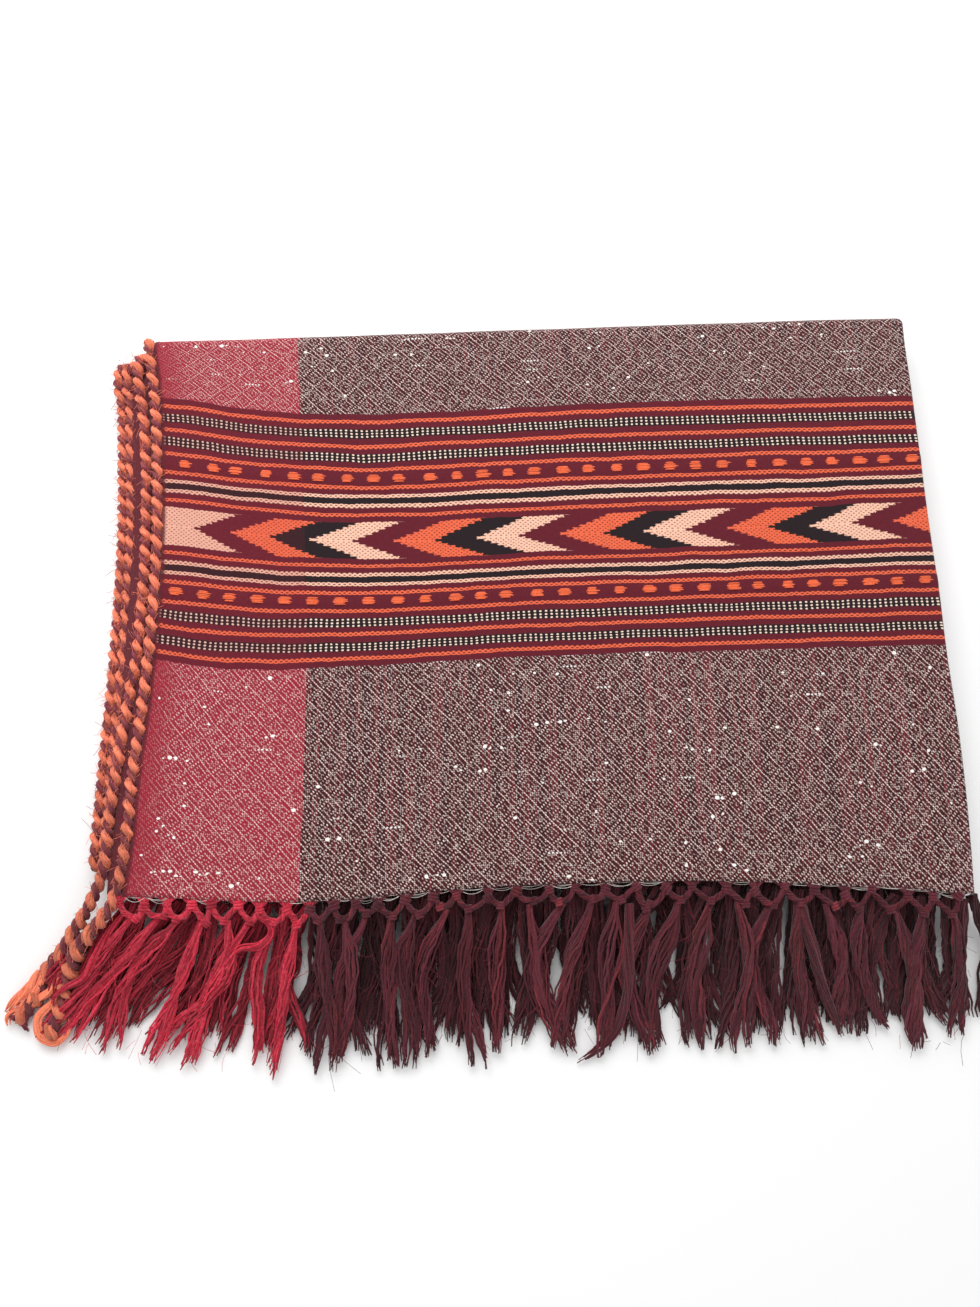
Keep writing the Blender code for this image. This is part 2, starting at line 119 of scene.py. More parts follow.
BAND_MID_Y = (0.0836, 0.0816, 0.0790, 0.0760, 0.0735, 0.0722, 0.0725, 0.0752, 0.0775, 0.0792,
              0.0813, 0.0839, 0.0868)
BAND_HIGH_Y = (0.1713, 0.1689, 0.1646, 0.1609, 0.1594, 0.1590, 0.1598, 0.1630, 0.1661, 0.1682,
               0.1700, 0.1713, 0.1725)

# Routes of the ropes: x, y and height.
TAIL_OUTER = (
    (-0.2575, -0.2240, FLOOR_LINE), (-0.2527, -0.2112, FLOOR_LINE + 0.0006),
    (-0.2471, -0.1929, 0.0082), (-0.2415, -0.1756, 0.0142), (-0.2304, -0.1623, 0.0200),
    (-0.2205, -0.1500, 0.0238),
)
TAIL_INNER = (
    (-0.2780, -0.2160, FLOOR_LINE), (-0.2685, -0.2037, FLOOR_LINE), (-0.2625, -0.1898, 0.0048),
    (-0.2522, -0.1768, 0.0088), (-0.2432, -0.1632, 0.0145), (-0.2341, -0.1484, 0.0196),
)
INNER_ROUTE = (
    (-0.2279, -0.1300, ROPE_MID), (-0.2270, -0.1030, ROPE_MID), (-0.2248, -0.0700, ROPE_MID),
    (-0.2222, -0.0400, ROPE_MID), (-0.2184, 0.0000, ROPE_MID), (-0.2177, 0.0400, ROPE_MID),
    (-0.2190, 0.0800, ROPE_MID), (-0.2232, 0.1330, ROPE_MID), (-0.2275, 0.1650, ROPE_MID),
    (-0.2325, 0.1880, ROPE_MID), (-0.2340, 0.1995, 0.0190), (-0.2342, 0.2043, 0.0160),
    (-0.2337, 0.2051, 0.0128),
)
UNDER_Y = (-0.135, -0.090, -0.054, -0.015, 0.020, 0.080, 0.140, 0.200)
UNDER_X = (-0.2379, -0.2381, -0.2377, -0.2368, -0.2372, -0.2384, -0.2432, -0.2486)


class Swell(NamedTuple):
    """A soft hollow or rise of the top ply: centre, half sizes and height."""

    x: float
    y: float
    half_x: float
    half_y: float
    height: float


SWELLS = (
    Swell(0.236, -0.070, 0.016, 0.075, -0.0014),
    Swell(0.262, -0.060, 0.012, 0.090, 0.0010),
    Swell(-0.185, -0.060, 0.014, 0.030, 0.0008),
    Swell(-0.192, 0.060, 0.012, 0.040, 0.0006),
    Swell(-0.120, -0.110, 0.060, 0.030, 0.0005),
    Swell(0.070, -0.118, 0.080, 0.022, 0.0006),
    Swell(-0.060, 0.195, 0.120, 0.020, 0.0005),
    Swell(0.150, 0.080, 0.070, 0.090, 0.0005),
    Swell(-0.030, 0.030, 0.090, 0.030, -0.0004),
)


def curve_value(at: Array, xs: Sequence[float], ys: Sequence[float]) -> Array:
    """Read a smooth curve through the points (xs, ys).

    Args:
        at: Places where the curve is read.
        xs: Rising places of the curve's points.
        ys: Values of the curve's points.

    Returns:
        The curve's value at each place, held level past both ends.
    """
    xs, ys = np.asarray(xs, float), np.asarray(ys, float)
    slopes = np.gradient(ys, xs)
    at = np.clip(np.asarray(at, float), xs[0], xs[-1])
    k = np.clip(np.searchsorted(xs, at, side="right") - 1, 0, len(xs) - 2)
    step = xs[k + 1] - xs[k]
    t = (at - xs[k]) / step
    return (
        (1 + 2 * t) * (1 - t) ** 2 * ys[k]
        + t * (1 - t) ** 2 * step * slopes[k]
        + t * t * (3 - 2 * t) * ys[k + 1]
        + t * t * (t - 1) * step * slopes[k + 1]
    )


def unit(vectors: Array) -> Array:
    """Vectors of length one along the given ones."""
    return vectors / (np.linalg.norm(vectors, axis=-1, keepdims=True) + LEAST_LENGTH)


def smooth_step(x: Array, low: float, high: float) -> Array:
    """Rise from 0 at low to 1 at high.

    Args:
        x: Values to read it at.
        low: Where the rise starts.
        high: Where it ends.

    Returns:
        The height at each value.
    """
    t = np.clip((np.asarray(x, float) - low) / (high - low), 0.0, 1.0)
    return t * t * (3 - 2 * t)


def frame_shift() -> Array:
    """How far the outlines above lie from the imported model's frame.

    Returns:
        The shift, as a vector.
    """
    _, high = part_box("top_cloth")
    places = np.linspace(-0.15, 0.235, 400)
    fold = curve_value(places, SIDE_Y, FOLD_X).max()
    across = np.linspace(-0.23, 0.28, 400)
    far = curve_value(across[across < 0.274], WEAVE_X, FAR_FOLD_Y).max()
    return np.array([high[0] - fold, high[1] - far, 0.0])


SHIFT = frame_shift()


def rope_x(y: Array) -> Array:
    """Centre of the outer rope beside the top ply."""
    return curve_value(y, SIDE_Y, ROPE_X)


def cloth_left(y: Array) -> Array:
    """Selvedge of the top ply."""
    return rope_x(y) + ROPE_TO_CLOTH - 0.0004


def cloth_right(y: Array) -> Array:
    """Side fold of the top ply."""
    return curve_value(y, SIDE_Y, FOLD_X)


def inner_x(y: Array) -> Array:
    """Centre of the inner rope."""
    rows = [p for p in INNER_ROUTE if p[1] < UNDER_END_Y + 0.002]
    return curve_value(y, [p[1] for p in rows], [p[0] for p in rows])


def under_x(y: Array) -> Array:
    """Centre of the under pair's outer rope."""
    return curve_value(y, UNDER_Y, UNDER_X)


def hem_y(x: Array) -> Array:
    """Hem, where the fringe starts."""
    return curve_value(x, WEAVE_X, HEM_Y)


def band_line(x: Array, line: Sequence[float]) -> Array:
    """Place of one line of the band along the shawl."""
    return curve_value(x, BAND_X, line)


def far_axis_y(x: Array) -> Array:
    """Axis of the far fold."""
    return curve_value(x, WEAVE_X, FAR_FOLD_Y) - FAR_RADIUS


def swell_height(x: Array, y: Array) -> Array:
    """Soft rise and fall of the top ply.

    Args:
        x: Places across the shawl.
        y: Places along it.

    Returns:
        The height at each place.
    """
    total = np.zeros_like(x)
    for s in SWELLS:
        total += s.height * np.exp(-(((x - s.x) / s.half_x) ** 2) - ((y - s.y) / s.half_y) ** 2)
    ripple = 0.00016 * np.sin(61 * x + 2.1 * np.sin(23 * y)) * np.sin(47 * y + 1.3 * np.cos(31 * x))
    return total + ripple


def stack_left(y: Array, z: Array) -> Array:
    """Selvedge side of the hidden plies at height z.

    Args:
        y: Places along the shawl.
        z: Their heights.

    Returns:
        x at each place.
    """
    tucked = cloth_left(y) + SEAM
    middle = inner_x(y) + ROPE_RADIUS + SEAM
    middle = middle + (tucked - middle) * smooth_step(y, 0.1895, 0.2005)
    low = under_x(y) + UNDER_PITCH + ROPE_RADIUS + SEAM
    low = low + (tucked - low) * np.where(z > 4 * PLY, smooth_step(y, 0.1855, 0.1995), 0.0)
    return np.where(z > 10 * PLY - 0.0002, tucked, np.where(z > 8 * PLY, middle, low))


def stack_right(y: Array, z: Array) -> Array:
    """Fold side of the hidden plies at height z."""
    return cloth_right(y) - 0.0006 + 0.0006 * np.sin(1.7 + 900 * z) * np.cos(14 * y + 500 * z)


def srgb(red: float, green: float, blue: float) -> tuple[float, float, float, float]:
    """A colour as the eye names it, 0 to 255, in the shader's linear values.

    Args:
        red: Red.
        green: Green.
        blue: Blue.

    Returns:
        The linear colour and an alpha of 1.
    """
    linear = [
        c / 12.92 if c <= 0.04045 else ((c + 0.055) / 1.055) ** 2.4
        for c in (red / 255, green / 255, blue / 255)
    ]
    return linear[0], linear[1], linear[2], 1.0


class Wiring:
    """Adds nodes to one node tree and joins them."""

    def __init__(self, tree: bpy.types.NodeTree) -> None:
        """Work in the given tree."""
        self.tree = tree

    def feed(self, socket: Socket, value: object) -> None:
        """Join a socket to another, or set its value.

        Args:
            socket: The socket.
            value: What feeds it. None leaves it alone.
        """
        if isinstance(value, Socket):
            self.tree.links.new(value, socket)
        elif value is not None:
            socket.default_value = value

    def add(self, kind: str, *inputs: object, **settings: object) -> bpy.types.Node:
        """Add a node.

        Args:
            kind: The node's type, without its leading "ShaderNode".
            inputs: Values or sockets for the node's inputs, in order. None leaves one alone.
            settings: Properties of the node.

        Returns:
            The new node.
        """
        node = self.tree.nodes.new("ShaderNode" + kind)
        for key, value in settings.items():
            setattr(node, key, value)
        for socket, value in zip(node.inputs, inputs):
            self.feed(socket, value)
        return node

    def calc(self, operation: str, *values: Value) -> Socket:
        """Result of one arithmetic operation."""
        return self.add("Math", *values, operation=operation).outputs[0]

    def product(self, first: Value, second: Value) -> Socket:
        """First value times the second."""
        return self.calc("MULTIPLY", first, second)

    def total(self, first: Value, second: Value) -> Socket:
        """First value and the second together."""
        return self.calc("ADD", first, second)

    def less(self, first: Value, second: Value) -> Socket:
        """First value less the second."""
        return self.calc("SUBTRACT", first, second)

    def ratio(self, first: Value, second: Value) -> Socket:
        """First value divided by the second."""
        return self.calc("DIVIDE", first, second)

    def line(self, value: Value, slope: Value, start: Value) -> Socket:
        """Value times a slope, and a start value added."""
        return self.calc("MULTIPLY_ADD", value, slope, start)

    def below(self, value: Value, limit: Value) -> Socket:
        """1 where a value is under a limit, and 0 elsewhere."""
        return self.calc("LESS_THAN", value, limit)

    def size(self, value: Value) -> Socket:
        """Value without its sign."""
        return self.calc("ABSOLUTE", value)

    def vector(self, x: Value, y: Value, z: Value = 0.0) -> Socket:
        """Vector of three values."""
        return self.add("CombineXYZ", x, y, z).outputs[0]

    def channels(self, colour: Socket) -> Sequence[Socket]:
        """Red, green and blue of a colour."""
        return self.add("SeparateColor", colour).outputs

    def scaled(self, vector: Socket, factor: Value) -> Socket:
        """Vector or colour times a factor.

        Args:
            vector: The vector or colour.
            factor: The factor.

        Returns:
            The product.
        """
        node = self.add("VectorMath", vector, operation="SCALE")
        self.feed(node.inputs["Scale"], factor)
        return node.outputs[0]

    def blend(self, factor: Value, low: object, high: object) -> Socket:
        """Colour between two colours.

        Args:
            factor: Share of the second colour.
            low: The first colour.
            high: The second colour.

        Returns:
            The blended colour.
        """
        node = self.add("Mix", data_type="RGBA")
        for name, value in (("Factor_Float", factor), ("A_Color", low), ("B_Color", high)):
            self.feed(next(s for s in node.inputs if s.identifier == name), value)
        return next(s for s in node.outputs if s.identifier == "Result_Color")

    def noise(self, vector: Socket, scale: float, detail: float = 2.0) -> Socket:
        """Soft noise from 0 to 1.

        Args:
            vector: Where it is read.
            scale: Its scale.
            detail: Its number of finer layers.

        Returns:
            The noise.
        """
        node = self.add("TexNoise", vector)
        node.inputs["Scale"].default_value = scale
        node.inputs["Detail"].default_value = detail
        return node.outputs[0]

    def remap(self, value: Value, *limits: float) -> Socket:
        """Value taken from one range to another, smoothly and within it."""
        node = self.add("MapRange", value, *limits, interpolation_type="SMOOTHSTEP")
        return node.outputs[0]

    def ramp(self, value: Value, stops: Sequence[tuple[float, tuple]], interpolation: str) -> Socket:
        """Colour read from a list of places and colours.

        Args:
            value: Where the list is read.
            stops: Its places and colours.
            interpolation: How one colour passes to the next.

        Returns:
            The colour.
        """
        node = self.add("ValToRGB", value)
        ramp = node.color_ramp
        ramp.interpolation = interpolation
        for k, (place, colour) in enumerate(stops):
            element = ramp.elements[k] if k < 2 else ramp.elements.new(place)
            element.position = place
            element.color = colour
        return node.outputs[0]

    def triangle(self, value: Value, period: float) -> Socket:
        """Wave that runs evenly between 0 and 1 once a period."""
        share = self.calc("FRACT", self.ratio(value, period))
        return self.size(self.line(share, 2.0, -1.0))

    def drift(self, place: Socket, scale: float, reach: float) -> list[Socket]:
        """Two values that wander softly over a surface, each by half the reach either way.

        Args:
            place: The surface's coordinates.
            scale: Scale of the noise.
            reach: Width of the range.

        Returns:
            The two values.
        """
        noise = self.add("TexNoise", place)
        noise.inputs["Scale"].default_value = scale
        channels = self.channels(noise.outputs["Color"])
        return [self.line(channels[k], reach, -reach / 2) for k in range(2)]


def new_group(
    name: str, inputs: dict[str, str], outputs: dict[str, str]
) -> tuple[bpy.types.NodeTree, Wiring, dict[str, Socket], bpy.types.Node]:
    """Start a node group.

    Args:
        name: The group's name.
        inputs: Socket type of each input, by name.
        outputs: Socket type of each output, by name.

    Returns:
        The group, its wiring, its inputs as sockets by name, and its output node.
    """
    tree = bpy.data.node_groups.new(name, "ShaderNodeTree")
    for label, kind in inputs.items():
        tree.interface.new_socket(label, in_out="INPUT", socket_type="NodeSocket" + kind)
    for label, kind in outputs.items():
        tree.interface.new_socket(label, in_out="OUTPUT", socket_type="NodeSocket" + kind)
    start = tree.nodes.new("NodeGroupInput")
    end = tree.nodes.new("NodeGroupOutput")
    return tree, Wiring(tree), {label: start.outputs[label] for label in inputs}, end


@dataclass(frozen=True)
class WoolSurface:
    """The look that every wool yarn here shares."""

    roughness: float = 0.92
    sheen: float = 0.22
    sheen_roughness: float = 0.45

    def shader(self, material: bpy.types.Material) -> bpy.types.Node:
        """Principled shader of a material, set for wool.

        Args:
            material: The material.

        Returns:
            Its shader.
        """
        material.use_nodes = True
        node = material.node_tree.nodes["Principled BSDF"]
        node.inputs["Roughness"].default_value = self.roughness
        node.inputs["Sheen Weight"].default_value = self.sheen
        node.inputs["Sheen Roughness"].default_value = self.sheen_roughness
        node.inputs["Specular IOR Level"].default_value = 0.25
        return node


class Effects:
    """Node groups that more than one finish uses, each built once."""

    def __init__(self) -> None:
        """Build the groups."""
        self.uneven = self.build_uneven()
        self.dots = self.build_dots()
        self.twill = self.build_twill()
        self.band = self.build_band()

    @staticmethod
    def place(wiring: Wiring, group: bpy.types.NodeTree, **inputs: object) -> bpy.types.Node:
        """Put a group into a tree.

        Args:
            wiring: The tree's wiring.
            group: The group to place.
            inputs: Its inputs, with spaces written as underscores.

        Returns:
            The group's node.
        """
        node = wiring.tree.nodes.new("ShaderNodeGroup")
        node.node_tree = group
        for name, value in inputs.items():
            wiring.feed(node.inputs[name.replace("_", " ")], value)
        return node

    @staticmethod
    def build_uneven() -> bpy.types.NodeTree:
        """Uneven dyeing and loose fibres of hand-spun wool.

        Returns:
            A group with the unevenly dyed colour and the height of its fibres.
        """
        tree, w, at, end = new_group(
            "uneven_wool",
            {"Colour": "Color", "Place": "Vector", "Scale": "Float", "Amount": "Float"},
            {"Colour": "Color", "Fibre Height": "Float"},
        )
        place = w.scaled(at["Place"], at["Scale"])
        broad = w.noise(place, 1.0, 3.0)
        fine = w.noise(place, 9.0, 3.0)
        both = w.total(w.product(broad, 0.6), w.product(fine, 0.4))
        swing = w.product(w.less(both, 0.5), at["Amount"])
        shade = w.add("HueSaturation")
        w.feed(shade.inputs["Color"], at["Colour"])
        w.feed(shade.inputs["Value"], w.line(swing, 2.0, 1.0))
        w.feed(shade.inputs["Saturation"], w.line(swing, -0.5, 1.0))
        w.feed(end.inputs["Colour"], shade.outputs[0])
        w.feed(end.inputs["Fibre Height"], fine)
        return tree

    @staticmethod
    def build_dots() -> bpy.types.NodeTree:
        """Rows of small oval dots, every other row shifted by a share of the pitch.

        Returns:
            A group with the mask of the dots.
        """
        names = ("U", "W", "Pitch U", "Pitch W", "Half U", "Half W", "Shift")
        tree, w, at, end = new_group("dot_rows", {n: "Float" for n in names}, {"Mask": "Float"})
        rows = w.ratio(at["W"], at["Pitch W"])
        odd = w.product(w.calc("MODULO", w.calc("FLOOR", rows), 2.0), at["Shift"])
        columns = w.total(w.ratio(at["U"], at["Pitch U"]), odd)
        parts = []
        for count, pitch, half in ((columns, "Pitch U", "Half U"), (rows, "Pitch W", "Half W")):
            off = w.less(w.calc("FRACT", count), 0.5)
            reach = w.ratio(w.product(off, at[pitch]), at[half])
            parts.append(w.product(reach, reach))
        w.feed(end.inputs["Mask"], w.remap(w.total(*parts), 0.6, 1.5, 1.0, 0.0))
        return tree

    def build_twill(self) -> bpy.types.NodeTree:
        """Bird's-eye diamond twill: pale slanted weft floats in nested diamonds, and specks between.

        Returns:
            A group with the twill's colour, painted shade between the warp threads included, and its
            height.
        """
        tree, w, at, end = new_group(
            "diamond_twill",
            {"U": "Float", "V": "Float", "Fading": "Float", "Warp": "Color", "Weft": "Color"},
            {"Colour": "Color", "Height": "Float"},
        )
        look = TwillPattern
        numbers, within, folded = [], [], []
        for axis, size in (("U", WARP_THREAD), ("V", WEFT_THREAD)):
            thread = w.ratio(at[axis], size)
            number = w.calc("FLOOR", thread)
            numbers.append(number)
            within.append(w.less(w.less(thread, number), 0.5))
            turn = w.calc("FLOORED_MODULO", number, look.REPEAT)
            folded.append(w.size(w.less(turn, look.REPEAT / 2)))
        ring = w.size(w.less(folded[0], folded[1]))
        floats = w.below(w.calc("FLOORED_MODULO", ring, look.RING), 0.5)
        inner = w.calc("GREATER_THAN", ring, 0.5)

        # A float leans one way: in that direction the floats join, in the other they stay dashes.
        long_way = w.ratio(w.less(within[0], within[1]), look.FLOAT_LENGTH)
        short_way = w.ratio(w.total(within[0], within[1]), look.FLOAT_WIDTH)
        reach = w.calc("SQRT", w.total(w.product(long_way, long_way), w.product(short_way, short_way)))
        line = w.remap(reach, 0.62, 1.12, 1.0, 0.0)
        faint = w.remap(w.noise(w.vector(at["U"], at["V"]), 260.0), 0.34, 0.58, look.FAINTEST, 1.0)
        strength = w.product(w.line(inner, -look.INNER_FADING, 1.0), faint)
        line = w.product(w.product(line, floats), strength)

        # Specks of weft between the warp threads, one at a crossing and each its own size.
        chance = w.add("TexWhiteNoise", w.vector(*numbers), noise_dimensions="2D").outputs["Value"]
        size = w.remap(chance, look.EMPTY_SHARE, 1.0, 0.0, 0.50)
        away = w.add("VectorMath", w.vector(*within), operation="LENGTH").outputs["Value"]
        speck = w.remap(w.less(away, size), -0.26, 0.02, look.SPECK_STRENGTH, 0.0)
        shown = w.product(w.calc("MAXIMUM", line, speck), at["Fading"])

        ribs, picks = [w.less(1.0, w.size(w.product(part, 2.0))) for part in within]
        # Painted shade: each warp thread's colour darkens towards its sides, where the threads meet.
        dark = w.scaled(at["Warp"], w.line(ribs, 0.45, 0.72))
        w.feed(end.inputs["Colour"], w.blend(shown, dark, at["Weft"]))
        relief = w.line(ribs, 0.35, w.product(picks, 0.25))
        w.feed(end.inputs["Height"], w.line(shown, 0.9, relief))
        return tree

    def build_band(self) -> bpy.types.NodeTree:
        """Woven cross band: stripes, dotted rows, inlay rows and one row of chevrons.

        Returns:
            A group with the band's colour, painted shade between the threads included, and its height.
        """
        tree, w, at, end = new_group(
            "cross_band", {"U": "Float", "Share": "Float", "Red Warp": "Float"},
            {"Colour": "Color", "Height": "Float"},
        )
        look = BandPattern
        half = look.half_height()
        from_edge = w.line(w.size(w.line(at["Share"], 2.0, -1.0)), -half, half)
        place = w.ratio(from_edge, half)
        colour = w.ramp(place, look.colour_stops(), "CONSTANT")
        kinds = w.channels(w.ramp(place, look.kind_stops(), "CONSTANT"))
        chained, dotted, chevroned = kinds[0], kinds[1], kinds[2]
        within = w.channels(w.ramp(place, look.within_stops(), "LINEAR"))[0]

        # Thin stripes are chains: dark eyes along the middle, and notches between them at both edges.
        eyes = self.place(w, self.dots, U=at["U"], W=w.total(within, 0.25), Pitch_U=look.COLUMN,
                          Pitch_W=0.5, Half_U=0.00086, Half_W=0.165, Shift=0.5).outputs[0]
        eyes = w.product(eyes, chained)
        colour = w.blend(w.product(eyes, 0.88), colour, look.MAROON_DARK)

        # Dotted rows: three pale dots to a column, on black.
        pale = self.place(w, self.dots, U=at["U"], W=within, Pitch_U=look.COLUMN, Pitch_W=1 / 3,
                          Half_U=0.00074, Half_W=0.094, Shift=0.0).outputs[0]
        dots = w.product(pale, dotted)
        colour = w.blend(dots, colour, look.DOT)

        # Chevrons: four colours in turn, on slanted and toothed boundaries.
        middle = w.less(half, from_edge)
        stepped = w.product(w.calc("ROUND", w.ratio(middle, look.STEP)), look.STEP)
        teeth = w.product(w.triangle(middle, look.TOOTH), look.TOOTH_DEPTH)
        slant = w.line(stepped, look.SLANT, teeth)
        drawn_in = w.remap(at["U"], 0.020, 0.050, look.FIRST_SHORTER, 0.0)
        begun = w.less(look.CHEVRON_START, drawn_in)
        along = w.less(w.total(at["U"], begun), slant)
        turn = w.calc("FRACT", w.ratio(along, look.CHEVRON_PERIOD))
        chevron = w.ramp(turn, look.chevron_stops(), "CONSTANT")
        first = w.below(w.size(w.less(turn, 0.5)), 0.25)
        first = w.product(first, w.below(at["U"], look.FIRST_PALE))
        chevron = w.blend(first, chevron, look.PINK)
        lattice = self.place(w, self.dots, U=at["U"], W=from_edge, Pitch_U=look.COLUMN,
                             Pitch_W=0.0013, Half_U=0.00062, Half_W=0.00034, Shift=0.5).outputs[0]
        bright = w.calc("GREATER_THAN", w.calc("FRACT", w.product(turn, 2.0)), 0.5)
        bright = w.calc("MAXIMUM", bright, first)
        chevron = w.blend(w.product(w.product(lattice, bright), 0.80), chevron, look.MAROON_DARK)
        inside = w.below(middle, look.CHEVRON_HALF)
        colour = w.blend(w.product(inside, chevroned), colour, chevron)

        # Where the warp is red it shows through, most in the pale stripes.
        paleness = w.channels(colour)[1]
        redder = w.product(at["Red Warp"], w.line(paleness, 0.42, 0.05))
        colour = w.blend(redder, colour, look.RED_WARP)

        ribs = w.triangle(at["U"], look.RIB)
        picks = w.triangle(from_edge, look.PICK)
        # Painted shade: the colour is darker between the warp ribs and the picks, where the threads meet.
        w.feed(end.inputs["Colour"], w.scaled(colour, w.line(w.product(ribs, picks), 0.30, 0.86)))
        relief = w.line(ribs, 0.5, w.product(picks, 0.4))
        relief = w.line(dots, 0.8, relief)
        w.feed(end.inputs["Height"], w.line(eyes, -0.6, relief))
        return tree


class TwillPattern:
    """Bird's-eye diamond twill, in threads and in shares of a thread."""

    REPEAT = 12.0
    RING = 3.0
    FLOAT_LENGTH = 1.15
    FLOAT_WIDTH = 0.50
    INNER_FADING = 0.22
    FAINTEST = 0.36
    EMPTY_SHARE = 0.42
    SPECK_STRENGTH = 0.58


class StripeKind(Enum):
    """What a stripe of the band is made of, as a mask colour."""

    PLAIN = (0, 0, 0, 1)
    CHAIN = (1, 0, 0, 1)
    DOTTED = (0, 1, 0, 1)
    CHEVRON = (0, 0, 1, 1)


class BandPattern:
    """Stripes of the woven band, from its edge to its middle."""

    MAROON = srgb(100, 26, 40)
    MAROON_DARK = srgb(78, 20, 32)
    ORANGE = srgb(238, 106, 72)
    BLACK = srgb(36, 24, 28)
    PINK = srgb(250, 196, 170)
    DOT = srgb(252, 224, 204)
    RED_WARP = srgb(176, 36, 58)
    CHEVRON_PERIOD = 0.1053
    CHEVRON_START = 0.0870
    CHEVRON_HALF = 0.0129
    FIRST_PALE = 0.045
    FIRST_SHORTER = 0.0026
    SLANT = 2.45
    STEP = 0.0017
    TOOTH = 0.00115
    TOOTH_DEPTH = 0.0011
    COLUMN = 0.0033
    RIB = 0.0011
    PICK = 0.00062
    STRIPES = (
        (0.0040, MAROON, StripeKind.PLAIN), (0.0026, ORANGE, StripeKind.CHAIN),
        (0.0040, MAROON, StripeKind.PLAIN), (0.0061, BLACK, StripeKind.DOTTED),
        (0.0044, MAROON, StripeKind.PLAIN), (0.0025, ORANGE, StripeKind.CHAIN),
        (0.0036, MAROON, StripeKind.PLAIN), (0.0064, BLACK, StripeKind.DOTTED),
        (0.0038, MAROON, StripeKind.PLAIN), (0.0026, ORANGE, StripeKind.CHAIN),
        (0.0101, MAROON, StripeKind.PLAIN), (0.0026, ORANGE, StripeKind.CHAIN),
        (0.0037, MAROON, StripeKind.PLAIN), (0.0025, PINK, StripeKind.CHAIN),
        (0.0041, BLACK, StripeKind.PLAIN), (0.0025, PINK, StripeKind.CHAIN),
        (0.0038, MAROON, StripeKind.PLAIN), (0.0026, ORANGE, StripeKind.CHAIN),
        (0.00305, MAROON, StripeKind.PLAIN), (0.01375, MAROON, StripeKind.CHEVRON),
    )

    @classmethod
    def half_height(cls) -> float:
        """Height from the band's edge to its middle."""
        return sum(height for height, _, _ in cls.STRIPES)

    @classmethod
    def edges(cls) -> list[tuple[float, float]]:
        """Where each stripe starts and ends, as shares of the half height."""
        places = np.cumsum([0.0] + [height for height, _, _ in cls.STRIPES]) / cls.half_height()
        return [(float(a), float(b)) for a, b in zip(places, places[1:])]

    @classmethod
    def colour_stops(cls) -> list[tuple[float, tuple]]:
        """Colour of each stripe."""
        return [(start, row[1]) for (start, _), row in zip(cls.edges(), cls.STRIPES)]

    @classmethod
    def kind_stops(cls) -> list[tuple[float, tuple]]:
        """Kind of each stripe."""
        return [(start, row[2].value) for (start, _), row in zip(cls.edges(), cls.STRIPES)]

    @classmethod
    def within_stops(cls) -> list[tuple[float, tuple]]:
        """Black at the start and white at the end of each patterned stripe.

        Returns:
            Places and colours.
        """
        stops = []
        for (start, end), (_, _, kind) in zip(cls.edges(), cls.STRIPES):
            if kind in (StripeKind.CHAIN, StripeKind.DOTTED):
                stops += [(start, (0, 0, 0, 1)), (end, (1, 1, 1, 1))]
        return stops

    @classmethod
    def chevron_stops(cls) -> list[tuple[float, tuple]]:
        """Colours of the chevrons, in turn."""
        colours = (cls.MAROON, cls.ORANGE, cls.BLACK, cls.PINK)
        return [(k / 4, colour) for k, colour in enumerate(colours)]


